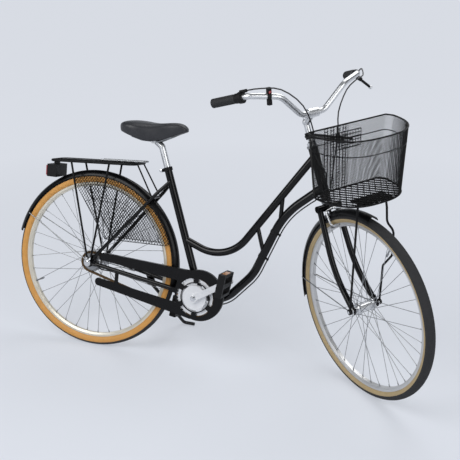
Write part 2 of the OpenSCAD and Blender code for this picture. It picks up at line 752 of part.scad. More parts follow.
// Toothed disc with a tooth at the given angle
module toothed(teeth, r, angle, bore) {
    difference() {
        union() {
            circle(r - roller_r - seat_gap);
            for (i = [0:teeth - 1]) rotate(angle + i * 360 / teeth) polygon([
                [r - 2 * roller_r, -tooth_foot], [r, -tooth_shares[0] * tooth_foot],
                [r + roller_r, -tooth_shares[1] * tooth_foot], [r + roller_r, tooth_shares[1] * tooth_foot],
                [r, tooth_shares[0] * tooth_foot], [r - 2 * roller_r, tooth_foot]]);
        }
        circle(bore);
    }
}
function link_phase(s) = (s / link_l - 0.5) - floor(s / link_l - 0.5);
ring_mid_s = run_l + ring_wrap_l / 2;
sprocket_mid_s = loop_l - sprocket_wrap_l / 2;
ring_tooth_angle = (link_phase(ring_mid_s) - 0.5) * link_l / ring_r * 180 / PI;
sprocket_tooth_angle = 180 + (link_phase(sprocket_mid_s) - 0.5) * link_l / sprocket_r * 180 / PI;
driver_r = 15;
driver_out = 5;
module sprocket() {
    color("#77705f") in_frame() difference() {
        union() {
            side_view(-chain_line + tooth_t / 2) translate([rear_axle_p[0], rear_axle_p[2], 0])
                linear_extrude(tooth_t) rotate(chain_slope)
                    toothed(sprocket_teeth, sprocket_r, sprocket_tooth_angle, driver_r - over);
            cross_rod(rear_axle_p, -chain_line - driver_out, -rear_hub_y - seat_gap, driver_r);
        }
        cross_rod(rear_axle_p, -2 * chain_line, 0, axle_r + run_gap);
    }
}
ring_bore_gap = 6;
ring_arms = 5;
ring_hole_r = 46;
ring_window_r = 14;
disc_r = 48;
disc_bite = 0.5;
disc_bore_gap = 1;
module chainring() {
    color("#b8b9ba") in_frame() {
        difference() {
            side_view(-chain_line + tooth_t / 2) translate([bb_p[0], bb_p[2], 0]) linear_extrude(tooth_t)
                rotate(chain_slope)
                    toothed(ring_teeth, ring_r, ring_tooth_angle, crank_axle_r + ring_bore_gap);
            for (i = [1:ring_arms]) rotate_about_bb(i * 360 / ring_arms)
                cross_rod(bb_p + [ring_hole_r, 0, 0], -2 * chain_line, 0, ring_window_r);
        }
        difference() {
            cross_rod(bb_p, -crank_in_y + seat_gap, -chain_line - tooth_t / 2 + disc_bite, disc_r);
            cross_rod(bb_p, -2 * chain_line, 0, crank_axle_r + disc_bore_gap);
        }
    }
}
module rotate_about_bb(a) {
    translate(bb_p) rotate([0, -a, 0]) translate(-bb_p) children();
}
module crank_axle() {
    color("#9b9c9e") in_frame() cross_rod(bb_p, -crank_in_y + seat_gap, crank_in_y - seat_gap, crank_axle_r);
}
crank_boss_r = 17;
crank_end_r = 13;
crank_h = 24;
// Crank arm on the left, turned to the given angle
module crank_arm(angle) {
    rotate_about_bb(angle) {
        cross_rod(bb_p, crank_in_y, crank_in_y + crank_t, crank_boss_r);
        translate([bb_p[0], crank_in_y, bb_p[2] - crank_h / 2]) cube([crank_l, crank_t, crank_h]);
        cross_rod(bb_p + [crank_l, 0, 0], crank_in_y, crank_in_y + crank_t, crank_end_r);
    }
}
module crank_right() {
    color("#d3d4d5") in_frame() mirror([0, 1, 0]) crank_arm(crank_angle);
}
module crank_left() {
    color("#d3d4d5") in_frame() crank_arm(crank_angle + 180);
}
pedal_gap = 8;
pedal_in_y = crank_in_y + crank_t + pedal_gap;
pedal_t = 27;
pedal_axle_r = 6;
pedal_bar = 12;
pedal_window = 24;
pedal_window_share = 0.24;
reflector_edge = 20;
reflector_h = 18;
reflector_t = 2.8;
reflector_recess = 3;
module tilted_at(c) {
    translate(c) rotate([0, -pedal_tilt, 0]) translate(-c) children();
}
module pedal(angle) {
    c = bb_p + crank_l * [cos(angle), 0, sin(angle)];
    cross_rod(c, crank_in_y + crank_t + seat_gap, pedal_in_y + over, pedal_axle_r);
    tilted_at(c) difference() {
        translate(c + [-pedal_l / 2, pedal_in_y, -pedal_t / 2]) cube([pedal_l, pedal_w, pedal_t]);
        for (x = [-1, 1])
            translate(c + [
                x * pedal_window_share * pedal_l - pedal_window / 2, pedal_in_y + pedal_bar, -pedal_t])
                cube([pedal_window, pedal_w - 2 * pedal_bar, 2 * pedal_t]);
        for (x = [-1, 1])
            translate(c + [x * pedal_l / 2 - reflector_recess, pedal_in_y + reflector_edge, -reflector_h / 2])
                cube([2 * reflector_recess, pedal_w - 2 * reflector_edge, reflector_h]);
    }
}
module reflectors(angle) {
    c = bb_p + crank_l * [cos(angle), 0, sin(angle)];
    size = [reflector_t, pedal_w - 2 * (reflector_edge + seat_gap), reflector_h - 2 * seat_gap];
    tilted_at(c) for (x = [-1, 1])
        translate(c + [x * (pedal_l - reflector_t) / 2, pedal_in_y + pedal_w / 2, 0])
            cube(size, center = true);
}
module pedal_right() {
    color("#1d1d1f") in_frame() mirror([0, 1, 0]) pedal(crank_angle);
}
module pedal_left() {
    color("#1d1d1f") in_frame() pedal(crank_angle + 180);
}
module pedal_reflectors_right() {
    color("#d9902f") in_frame() mirror([0, 1, 0]) reflectors(crank_angle);
}
module pedal_reflectors_left() {
    color("#d9902f") in_frame() reflectors(crank_angle + 180);
}

// Chain guard: open plate with a rim, round the chainring and along both runs
case_out = 6;
case_y = -chain_line - case_out;
case_t = 2;
case_at = [15, 10];
bb_flat = [bb_p[0], bb_p[2]];
case_p = bb_flat + case_at;
case_hole_r = 56;
case_window_r = [60, 76];
case_windows = 6;
case_window_span = 42;
bar_bite_share = 0.985;
module taper_bar(c1, r1, c2, r2) {
    d = c2 - c1;
    a = atan2(d[1], d[0]);
    translate(c1) circle(r1, $fn = 80);
    translate(c2) circle(r2);
    polygon([
        c1 + bar_bite_share * polar(r1, a + 90), c1 + bar_bite_share * polar(r1, a - 90),
        c2 + bar_bite_share * polar(r2, a - 90), c2 + bar_bite_share * polar(r2, a + 90)]);
}
case_up_at = [[0, 75], [-400, 102]];
case_low_at = [[-16, -63], [-416, -1]];
case_up = [for (c = case_up_at) bb_flat + c];
case_up_r = [26, 16];
case_low = [for (c = case_low_at) bb_flat + c];
case_low_r = [24, 16];
case_back = 60;
tab_share = 0.775;
web_share = 0.263;
web_r = 8;
post_r = 4;
function flat(p) = [p[0], p[2]];
module case_outline(inset) {
    translate(case_p) circle(case_r - inset, $fn = 80);
    taper_bar(case_up[0], case_up_r[0] - inset, case_up[1], case_up_r[1] - inset);
    taper_bar(case_low[0], case_low_r[0] - inset, case_low[1], case_low_r[1] - inset);
}
// Curved windows of the guard's disc, between ribs
module case_window(i) {
    reach = 2 * case_window_r[1];
    rotate(i * 360 / case_windows) intersection() {
        difference() {
            circle(case_window_r[1], $fn = 80);
            circle(case_window_r[0], $fn = 80);
        }
        polygon([[0, 0], polar(reach, -case_window_span / 2), polar(reach, case_window_span / 2)]);
    }
}
module chain_guard() {
    post_p = flip(chain_stay_at(tab_share));
    web_p = flip(chain_stay_at(web_share));
    color("#1c1c1e") in_frame() difference() {
        union() {
            side_view(case_y) difference() {
                union() {
                    linear_extrude(case_t) {
                        case_outline(0);
                        taper_bar(flat(post_p), 2 * post_r, case_p, case_r / 4);
                        taper_bar(flat(web_p) - [0, web_r], web_r, flat(web_p) - [0, case_r / 2], web_r);
                    }
                    translate([0, 0, case_t - case_depth]) linear_extrude(case_depth) difference() {
                        case_outline(0);
                        case_outline(case_t);
                        polygon([
                            case_up[0], case_up[1], case_up[1] + [0, case_back],
                            case_up[1] + [-case_back, case_back], case_low[1] - [case_back, case_back],
                            case_low[1] - [0, case_back], case_low[1], case_low[0]]);
                    }
                }
                translate([bb_p[0], bb_p[2], -case_depth]) cylinder(h = 3 * case_depth, r = case_hole_r);
                translate([bb_p[0], bb_p[2], -over]) linear_extrude(2 * over + case_t)
                    for (i = [1:case_windows]) case_window(i);
            }
            cross_rod(post_p, case_y - case_t, post_p[1], post_r);
        }
        mirror([0, 1, 0]) chain_stay_body(chainstay_r + seat_gap);
    }
}

// Wheels
module tyre(p) {
    translate(p) rotate([90, 0, 0]) rotate_extrude($fn = 96) difference() {
        translate([tyre_ring_r, 0]) circle(tyre_r);
        translate([0, -2 * tyre_r]) square([rim_r + seat_gap, 4 * tyre_r]);
    }
}
rim_lip = 0.5;
rim_side_share = 0.5;
rim_bed_share = 0.55;
module rim(p) {
    w = rim_w / 2;
    wall = w - rim_lip;
    side_r = rim_r - rim_side_share * rim_depth;
    bed = rim_bed_share * w;
    translate(p) rotate([90, 0, 0]) rotate_extrude($fn = 96) polygon([
        [rim_r, -wall], [rim_r, wall], [side_r, wall],
        [rim_r - rim_depth, bed], [rim_r - rim_depth, -bed], [side_r, -wall]]);
}
spoke_cross_share = 1.5;
spoke_in = 3;
spoke_free = 0.4;
spoke_rim_y = [1, 3.5];
flange_t = 3;
// Spokes of both flanges, crossing three times, half of them outside their flange
module spokes(p, flange_r, flange_y) {
    n = spoke_count / 4;
    step = 360 / n;
    off = flange_t / 2 + spoke_d / 2 + 3 * seat_gap;
    for (side = [-1, 1], i = [0:n - 1], k = [-1, 1]) {
        hub_a = i * step + (side > 0 ? 0 : step / 2) + k * step / 8;
        rim_a = hub_a + k * spoke_cross_share * step;
        hub_y = side * (flange_y + k * off);
        rim_y = side * (k > 0 ? spoke_rim_y[1] : spoke_rim_y[0]);
        hub_r = flange_r - spoke_in;
        end_r = rim_r - rim_depth - spoke_free;
        rod(p + [hub_r * cos(hub_a), hub_y, hub_r * sin(hub_a)],
            p + [end_r * cos(rim_a), rim_y, end_r * sin(rim_a)], spoke_d / 2);
    }
}
// Hub shell turned about the axle: half-profile as radius and distance from the middle
module hub_shell(p, flange_r, flange_y, barrel_r, end_y) {
    translate(p) rotate([90, 0, 0]) rotate_extrude() polygon([
        [axle_r + run_gap, -end_y], [hub_end_share * barrel_r, -end_y], [barrel_r, -flange_y - flange_t / 2],
        [flange_r, -flange_y - flange_t / 2], [flange_r, -flange_y + flange_t / 2],
        [barrel_r, -flange_y + flange_t / 2], [barrel_r, flange_y - flange_t / 2],
        [flange_r, flange_y - flange_t / 2], [flange_r, flange_y + flange_t / 2],
        [barrel_r, flange_y + flange_t / 2], [hub_end_share * barrel_r, end_y], [axle_r + run_gap, end_y]]);
}
hub_end_share = 0.75;
front_barrel_r = 14;
rear_barrel_r = 32;
front_flange_y = 31;
front_hub_y = 36;
rear_flange_y = 27;
rear_hub_y = 36;
module front_tyre() {
    color("#26262a") in_steering() tyre(front_axle_p);
}
module front_rim() {
    color("#c4c5c6") in_steering() rim(front_axle_p);
}
module front_spokes() {
    color("#a9abad") in_steering() spokes(front_axle_p, front_flange_r, front_flange_y);
}
module front_hub() {
    color("#b5b7b9") in_steering()
        hub_shell(front_axle_p, front_flange_r, front_flange_y, front_barrel_r, front_hub_y);
}
module rear_tyre() {
    color("#26262a") in_frame() tyre(rear_axle_p);
}
module rear_rim() {
    color("#d8d4c8") in_frame() rim(rear_axle_p);
}
module rear_spokes() {
    color("#a9abad") in_frame() spokes(rear_axle_p, rear_flange_r, rear_flange_y);
}
module rear_hub() {
    color("#b5b7b9") in_frame()
        hub_shell(rear_axle_p, rear_flange_r, rear_flange_y, rear_barrel_r, rear_hub_y);
}
nut_r = 9;
nut_t = 8;
axle_free = 12;
spacer_gap = 1;
hub_cap_l = 18;
hub_cap_r = 14;
module rear_axle() {
    out_y = stay_y + drop_t / 2;
    nut_in = out_y + seat_gap;
    color("#aeb0b2") in_frame() {
        cross_rod(rear_axle_p, -out_y - nut_t - axle_free, out_y + nut_t + axle_free, axle_r);
        cross_rod(rear_axle_p, -stay_y + drop_t / 2 + seat_gap, -chain_line - driver_out - spacer_gap, nut_r);
        cross_rod(rear_axle_p, rear_hub_y + seat_gap, stay_y - drop_t / 2 - seat_gap, nut_r);
        cross_rod(rear_axle_p, nut_in, nut_in + nut_t, nut_r);
        cross_rod(rear_axle_p, -nut_in - hub_cap_l, -nut_in, hub_cap_r);
    }
}
module front_axle() {
    out_y = front_drop_w / 2 + drop_t / 2;
    nut_in = out_y + seat_gap;
    color("#aeb0b2") in_steering() {
        cross_rod(front_axle_p, -out_y - nut_t - axle_free, out_y + nut_t + axle_free, axle_r);
        both_sides() {
            cross_rod(front_axle_p, front_hub_y + seat_gap, front_drop_w / 2 - drop_t / 2 - seat_gap, nut_r);
            cross_rod(front_axle_p, nut_in, nut_in + nut_t, nut_r);
        }
    }
}
coaster_share = 0.323;
coaster_r = 20;
coaster_wire_r = 2;
coaster_drop = 14;
coaster_clip_w = 8;
module coaster_arm() {
    arm_y = stay_y - drop_t / 2 - nut_r / 2;
    d = unit(bb_p - rear_axle_p);
    c = chain_stay_at(coaster_share);
    color("#8c8e90") in_frame() difference() {
        union() {
            cross_rod(rear_axle_p, arm_y - 2 * coaster_wire_r, arm_y, coaster_r);
            rod(rear_axle_p + [0, arm_y - coaster_wire_r, -coaster_drop],
                c - [0, 0, chainstay_r + coaster_wire_r + seat_gap], coaster_wire_r);
            rod(c - coaster_clip_w / 2 * d, c + coaster_clip_w / 2 * d, chainstay_r + coaster_wire_r);
        }
        cross_rod(rear_axle_p, 0, 2 * arm_y, nut_r + seat_gap);
        chain_stay_body(chainstay_r + seat_gap);
    }
}

// Front end
crown_r = 13;
crown_drop = 3.5;
crown_at = fork_l - crown_drop;
steerer_out = 24;
steerer_top = head_hi + steerer_out;
race_h = 11.3;
race_r = 19;
blade_top_y = 40;
crown_lip = 1;
crown_half_w = blade_top_y + blade_r + crown_lip;
blade_tuck = 4;
blade_end = [4, -2];
blade_clear = 12;
front_drop_r = 15;
front_drop_turn = 42;
front_slot_turn = -160;
drop_ease = 0.3;
blade_low_y = front_drop_w / 2;
blade_bend_share = 0.37;
blade_bend_r = 400;
module fork() {
    color("#17171a") in_steering() {
        on_steering_axis(crown_at) cylinder(h = steerer_top - crown_at, r = steerer_r);
        on_steering_axis(fork_l) cylinder(h = race_h, r = race_r);
        both_sides() {
            difference() {
                bent_tube([
                    te(crown_at, 0, blade_top_y),
                    te(blade_bend_share * fork_l, 0, blade_low_y - blade_tuck),
                    te(blade_end[0], fork_offset + blade_end[1], blade_low_y)
                ], [blade_bend_r], blade_r);
                cross_rod(front_axle_p, 0, 2 * blade_low_y, axle_r + blade_clear);
            }
            side_view(blade_low_y + drop_t / 2) translate([front_axle_p[0], front_axle_p[2], 0])
                linear_extrude(drop_t) difference() {
                    union() {
                        circle(front_drop_r);
                        rotate(head_angle + front_drop_turn) translate([0, -front_drop_r / 2])
                            square([2 * front_drop_r, front_drop_r]);
                    }
                    circle(drop_slot + drop_ease);
                    rotate(head_angle + front_slot_turn) translate([0, -drop_slot])
                        square([2 * front_drop_r, 2 * drop_slot]);
                }
        }
        cross_rod(te(crown_at, 0), -crown_half_w, crown_half_w, crown_r);
    }
}
quill_r = 11.1;
clamp_len = 44;
// Stem: how far its quill, knuckle and arm lie below the bar, and its walls
stem_drops = [18, 24, 30];
stem_root_back = 2;
stem_wall = 1;
knuckle_wall = 3;
bar_clamp_wall = 6;
module stem() {
    clamp_p = te(stem_h, stem_reach);
    color("#cfd0d1") in_steering() {
        rod(te(steerer_top + seat_gap, 0), te(stem_h - stem_drops[0], 0), quill_r);
        difference() {
            union() {
                rod(te(stem_h - stem_drops[2], -stem_root_back), clamp_p, quill_r + stem_wall);
                translate(te(stem_h - stem_drops[1], 0)) sphere(quill_r + knuckle_wall);
                cross_rod(clamp_p, -clamp_len / 2, clamp_len / 2, bar_r + bar_clamp_wall);
            }
            cross_rod(clamp_p, -clamp_len, clamp_len, bar_r + run_gap);
        }
    }
}
// Handlebar: shares of its sweep, half-width and rise
bar_shares = [[0, 0.167, 0], [0.05, 0.47, 0.88], [-0.225, 0.803, 1], [-1, 1, 0.65]];
bar_bends = [45, 55, 30];
bar_p = te(stem_h, stem_reach);
function bar_point(i, s) = bar_p + [
    bar_shares[i][0] * bar_sweep, s * bar_shares[i][1] * bar_half_w, bar_shares[i][2] * bar_rise];
bar_path = concat([for (i = [3:-1:0]) bar_point(i, -1)], [for (i = [0:3]) bar_point(i, 1)]);
bar_radii = concat([bar_bends[2], bar_bends[1], bar_bends[0]], bar_bends);
grip_dir = unit(bar_point(3, 1) - bar_point(2, 1));
grip_end = bar_point(3, 1);
module handlebar() {
    color("#d2d3d4") in_steering() bent_tube(bar_path, bar_radii, bar_r);
}
module sleeve(a, b, r) {
    d = unit(b - a);
    difference() {
        rod(a, b, r);
        rod(a - over * d, b + over * d, bar_r + run_gap);
    }
}
grip_cap_l = 6;
grip_cap_lip = 1;
module grips() {
    color("#1f1f21") in_steering() both_sides() {
        sleeve(grip_end - grip_l * grip_dir, grip_end, grip_r);
        rod(grip_end + seat_gap * grip_dir, grip_end + grip_cap_l * grip_dir, grip_r + grip_cap_lip);
    }
}
shifter_l = 30;
shifter_r = 18;
collar_r = 21;
collar_l = 14;
nozzle_r = 6;
nozzle_l = 22;
nozzle_h = 20;
shifter_gap = 1;
shifter_in = flip(grip_end - (grip_l + shifter_l + shifter_gap) * grip_dir);
shifter_dir = flip(grip_dir);
nozzle_off = nozzle_h * unit([0, 0, 1] - shifter_dir[2] * shifter_dir);
nozzle_end = shifter_in - nozzle_l * shifter_dir + nozzle_off;
module twist_shifter() {
    color("#1a1a1c") in_steering() difference() {
        union() {
            rod(shifter_in, shifter_in + shifter_l * shifter_dir, shifter_r);
            rod(shifter_in, shifter_in + collar_l * shifter_dir, collar_r);
            rod(shifter_in + collar_l / 2 * shifter_dir + nozzle_off, nozzle_end, nozzle_r);
        }
        rod(shifter_in - over * shifter_dir, shifter_in + 2 * shifter_l * shifter_dir, bar_r + run_gap);
    }
}
strap_share = 0.35;
strap_wall = 4;
strap_size = [14, 14, 62];
module bar_bracket() {
    d = unit(bar_point(2, -1) - bar_point(1, -1));
    c = bar_point(1, -1) + strap_share * (bar_point(2, -1) - bar_point(1, -1));
    half = strap_size[0] / 2 * d;
    color("#1a1a1c") in_steering() difference() {
        union() {
            rod(c - half, c + half, bar_r + strap_wall);
            translate(c) cube(strap_size, center = true);
        }
        rod(c - strap_size[2] * d, c + strap_size[2] * d, bar_r + run_gap);
    }
}
// Brake lever: its clamp beside the grip, its pivot arm, its blade
lever_from = 30;
lever_to = 4;
lever_mid = 12;
lever_wall = 5;
lever_arm = [[4, 6, -12], [8, 22, -24]];
lever_root = [6, 16, -20];
lever_tip = [-4, 72, -64];
lever_arm_r = 8;
lever_r = 5;
lever_tip_r = 7;
module brake_lever() {
    a = grip_end - (grip_l + lever_from) * grip_dir;
    b = grip_end - (grip_l + lever_to) * grip_dir;
    m = a + lever_mid * grip_dir;
    color("#1a1a1c") in_steering() {
        difference() {
            union() {
                rod(a, b, bar_r + lever_wall);
                rod(m + lever_arm[0], m + lever_arm[1], lever_arm_r);
            }
            rod(a - over * grip_dir, b + over * grip_dir, bar_r + run_gap);
        }
        rod(m + lever_root, a + lever_tip, lever_r);
        translate(a + lever_tip) sphere(lever_tip_r);
    }
}
pad_in = 7;
pad_gap = 2;
pad_r = rim_r - pad_in;
pad_angle = 115.5;
pad_size = [44, 8, 11];
pad_y = rim_w / 2 + pad_gap + pad_size[1] / 2;
caliper_out = 12;
caliper_e = crown_r + caliper_out;
caliper_y = 34;
caliper_r = 4.5;
caliper_drop = 12;
caliper_bend_r = 10;
bolt_r = 5;
pad_p = front_axle_p + [pad_r * cos(pad_angle), 0, pad_r * sin(pad_angle)];
pad_rise = caliper_bend_r * head_dir;
module brake_caliper() {
    color("#b7b9bb") in_steering() {
        rod(te(crown_at - bolt_r, crown_r + seat_gap),
            te(crown_at - bolt_r, caliper_e + caliper_drop), bolt_r);
        both_sides() {
            bent_tube([
                te(crown_at - bolt_r, caliper_e, -bolt_r), te(crown_at - caliper_drop, caliper_e, caliper_y),
                pad_p + pad_rise + [0, caliper_y, 0], pad_p + [0, pad_y, 0]
            ], [caliper_bend_r, caliper_bend_r], caliper_r);
            translate(pad_p + [0, pad_y, 0]) rotate([0, 90 - pad_angle, 0]) cube(pad_size, center = true);
        }
    }
}
front_cord_r = 2.5;
// Brake cable: from the lever's clamp, in front of the bar and the head tube, to the caliper
brake_exit_l = 16;
brake_exit_gap = 0.8;
brake_from_clamp = [[66, -16, 6], [100, -70, 6], [112, -130, -22]];
brake_from_bar = [[98, 40, 10], [92, 40, -70]];
brake_by_head = [[560, 78, 34], [470, 62, 0]];
brake_at_caliper = [[30, 6, -11], [-1, 0, -12]];
module brake_cable() {
    a = grip_end - (grip_l + lever_from - lever_mid) * grip_dir;
    u = unit(unit([1, 0, 0] - grip_dir[0] * grip_dir) + unit([0, 0, 1] - grip_dir[2] * grip_dir));
    exit = a + (bar_r + lever_wall) * u;
    color("#141416") in_steering() cord(concat(
        [exit + brake_exit_gap * u, exit + brake_exit_l * u],
        [for (c = brake_from_clamp) a + c],
        [for (c = brake_from_bar) bar_p + c],
        [for (c = brake_by_head) te(c[0], c[1], c[2])],
        [for (c = brake_at_caliper) te(crown_at + c[0], caliper_e + c[1], c[2])]), front_cord_r);
}
// Gear cable's loop: from the shifter's nozzle to the head tube, then with the frame
loop_from_nozzle = [
    [0, 0, 0], [52, 20, 10], [104, 72, 4], [130, 140, -60], [126, 182, -160], [112, 192, -250]];
loop_by_head = [[500, 40, -66], [440, 12, -34]];
loop_end = [22, -13, 17];
module gear_cable_loop() {
    n = nozzle_end - over * shifter_dir;
    color("#141416") in_frame() cord(concat(
        [for (c = loop_from_nozzle) steered(n + c)],
        [for (c = loop_by_head) te(c[0], c[1], c[2])],
        [cable_start + loop_end, cable_start + over * lower_d]), front_cord_r);
}
// Gear cable: under the lower tube, then along the right chain stay
cable_gap = 0.5;
cable_drop = bb_shell_r + front_cord_r + cable_gap;
cable_back = 70;
lower_d = unit(lower_path[4] - lower_path[3]);
function under(d) = [d[2], 0, -d[0]];
function under_corner(i) = let(a = under(bend_dir(lower_path, i - 1)), b = under(bend_dir(lower_path, i)))
    lower_path[i] + cable_drop * (a + b) / (1 + a * b);
cable_start = lower_path[4] - cable_back * lower_d + cable_drop * under(lower_d);
cable_low = chainstay_r + front_cord_r + cable_gap;
below_bb = [-25, 0, -cable_drop - over];
beside_stay = [0, 5.5, -cable_low];
outside_stay = [0, -9.6, -cable_low];
cable_stay_shares = [0.75, 0.2, 0.13];
hub_cable_at = [37.5, -73.5, -5.5];
hub_cable_end = [17.5, -73.5, -3];
cable_stay_bends = [30, 60, 30, 12, 12];
gear_cable_path = [
    cable_start, under_corner(3), under_corner(2), under_corner(1),
    bb_p + below_bb,
    flip(chain_stay_at(cable_stay_shares[0])) + beside_stay,
    flip(chain_stay_at(cable_stay_shares[1])) + beside_stay,
    flip(chain_stay_at(cable_stay_shares[2])) + outside_stay,
    rear_axle_p + hub_cable_at,
    rear_axle_p + hub_cable_end
];
gear_cable_bends = concat(
    [lower_bends[2] - cable_drop, lower_bends[1] + cable_drop, lower_bends[0] + cable_drop],
    cable_stay_bends);
module gear_cable() {
    color("#141416") in_frame() bent_tube(gear_cable_path, gear_cable_bends, front_cord_r);
}
cable_clip_shares = [0.3, 0.7];
cable_clip_t = 1.4;
cable_clip_w = 8;
module gear_cable_clips() {
    w = cable_clip_w / 2 * lower_clip_d;
    color("#2a2a2c") in_frame() for (s = cable_clip_shares) {
        c = lower_path[2] + s * (lower_path[3] - lower_path[2]);
        k = c + cable_drop * under(lower_clip_d);
        difference() {
            union() {
                rod(c - w, c + w, lower_tube_r + cable_clip_t);
                rod(k - w, k + w, front_cord_r + cable_clip_t);
                rod(c, k, cable_clip_w / 2 - collar_half);
            }
            rod(c - 2 * w, c + 2 * w, lower_tube_r + run_gap);
            rod(k - 2 * w, k + 2 * w, front_cord_r + run_gap);
        }
    }
}
lower_clip_d = unit(lower_path[3] - lower_path[2]);

// Basket: D-shaped in plan, open at the top
basket_at = [-83.5, 0, 434.5];
basket_back = front_axle_p + basket_at;
basket_tilt = 4;
basket_lean = 3;
floor_shares = [0.985, 0.873];
d_power_share = 0.74;
corner_share = 0.93;
corner_in_share = 0.02;
function d_outline(w, d) = concat(
    [[0, -corner_share * w], [corner_in_share * d, -w]],
    [for (a = [20:20:160]) [
        d * pow(sin(a), d_power_share),
        -w * sign(cos(a)) * pow(abs(cos(a)), d_power_share)]],
    [[corner_in_share * d, w], [0, corner_share * w]]);
module basket_shell(inset, z0, z1) {
    function grown(share, z) = share + (1 - share) * z / basket_h;
    function ring_at(z) = let(
            o = d_outline(grown(floor_shares[1], z) * basket_half_w - inset,
                grown(floor_shares[0], z) * basket_depth - 2 * inset))
        [for (p = o) [p[0] + inset + basket_lean * z / basket_h, p[1], z]];
    low = ring_at(z0);
    high = ring_at(z1);
    n = len(low);
    polyhedron(
        points = concat(low, high),
        faces = concat(
            [[for (i = [0:n - 1]) i]], [[for (i = [n - 1:-1:0]) n + i]],
            [for (i = [0:n - 1]) [i, n + i, n + (i + 1) % n, (i + 1) % n]]));
}
module in_basket() {
    translate(basket_back) rotate([0, basket_tilt, 0]) children();
}
// Its mesh: a plain grid that stands for the fine one
mesh_rows = 6;
mesh_columns = 9;
mesh_side_columns = 4;
mesh_open_share = 0.72;
mesh_width_share = 0.68;
mesh_side_shares = [0.14, 0.62];
mesh_edge = 12;
mesh_pitch = [
    (mesh_side_shares[1] - mesh_side_shares[0]) * basket_depth / mesh_side_columns,
    2 * mesh_width_share * basket_half_w / mesh_columns,
    (basket_h - 2 * mesh_edge) / mesh_rows];
module basket_openings() {
    open = mesh_open_share * mesh_pitch;
    for (row = [0:mesh_rows - 1]) {
        z = mesh_edge + (row + 0.5) * mesh_pitch[2] - open[2] / 2;
        for (column = [0:mesh_columns - 1])
            translate([-over, (column + 0.5 - mesh_columns / 2) * mesh_pitch[1] - open[1] / 2, z])
                cube([basket_depth + basket_lean + 2 * over, open[1], open[2]]);
        for (column = [0:mesh_side_columns - 1])
            translate([
                mesh_side_shares[0] * basket_depth + (column + 0.5) * mesh_pitch[0] - open[0] / 2,
                -basket_half_w - over, z])
                cube([open[0], 2 * (basket_half_w + over), open[2]]);
    }
}
module basket() {
    color("#1a1a1c") in_steering() in_basket() difference() {
        basket_shell(0, 0, basket_h);
        basket_shell(basket_t, basket_t, basket_h + over);
        basket_openings();
    }
}
bracket_t = 3;
bracket_h = 60;
bracket_half_w = 60;
bracket_z_share = 0.74;
arm_r = 5;
arm_y = 18;
clamp_from = 10;
clamp_h_quill = 24;
bracket_at = [basket_lean * bracket_z_share, 0, bracket_z_share * basket_h];
module basket_bracket() {
    low = te(steerer_top + clamp_from, 0);
    high = te(steerer_top + clamp_from + clamp_h_quill, 0);
    reach = basket_back + turn_y(bracket_at, basket_tilt) - [seat_gap + bracket_t / 2, 0, 0];
    color("#1c1c1e") in_steering() {
        difference() {
            union() {
                rod(low, high, quill_r + arm_r + seat_gap);
                both_sides() rod((low + high) / 2 + [0, arm_y, 0], reach + [0, arm_y, 0], arm_r);
            }
            rod(low - over * head_dir, high + over * head_dir, quill_r + run_gap);
        }
        in_basket() translate(bracket_at) rotate([0, atan2(basket_lean, basket_h), 0])
            translate([-seat_gap - bracket_t, -bracket_half_w, -bracket_h / 2])
                cube([bracket_t, 2 * bracket_half_w, bracket_h]);
    }
}
// Basket stays: a plate under the basket's floor, carried on the front axle; the left one jogs forward
stay_rod_r = 4;
stay_eye_r = 11;
stay_eye_y = front_drop_w / 2 + drop_t / 2 + nut_t + 5 * seat_gap + stay_rod_r;
stay_plate = [64, 140, 3];
stay_plate_x = 105;
stay_top_y = 60;
stay_jog = 52;
stay_jog_bend_r = 24;
stay_jog_shares = [[0.9, 0.2], [0.77, 0.3], [0.715, 1], [0.49, 1], [0.36, 0.15]];
stay_top = basket_back + turn_y([stay_plate_x + stay_plate[0] / 2, 0, -stay_plate[2]], basket_tilt);
stay_eye = front_axle_p + [0, stay_eye_y, 0];
stay_left_top = stay_top + [0, stay_top_y, 0];
stay_left_path = concat(
    [stay_left_top],
    [for (s = stay_jog_shares) stay_eye + s[0] * (stay_left_top - stay_eye) + [s[1] * stay_jog, 0, 0]],
    [stay_eye]);
module stay_eye() {
    cross_rod(front_axle_p, stay_eye_y - stay_rod_r, stay_eye_y + stay_rod_r, stay_eye_r);
}
module basket_stays() {
    color("#1c1c1e") in_steering() difference() {
        union() {
            in_basket() translate([stay_plate_x, -stay_plate[1] / 2, -seat_gap - stay_plate[2]])
                cube(stay_plate);
            rod(stay_top - [0, stay_top_y, 0], flip(stay_eye), stay_rod_r);
            bent_tube(stay_left_path, [for (s = stay_jog_shares) stay_jog_bend_r], stay_rod_r);
            both_sides() stay_eye();
        }
        cross_rod(front_axle_p, -2 * stay_eye_y, 2 * stay_eye_y, axle_r + run_gap);
    }
}

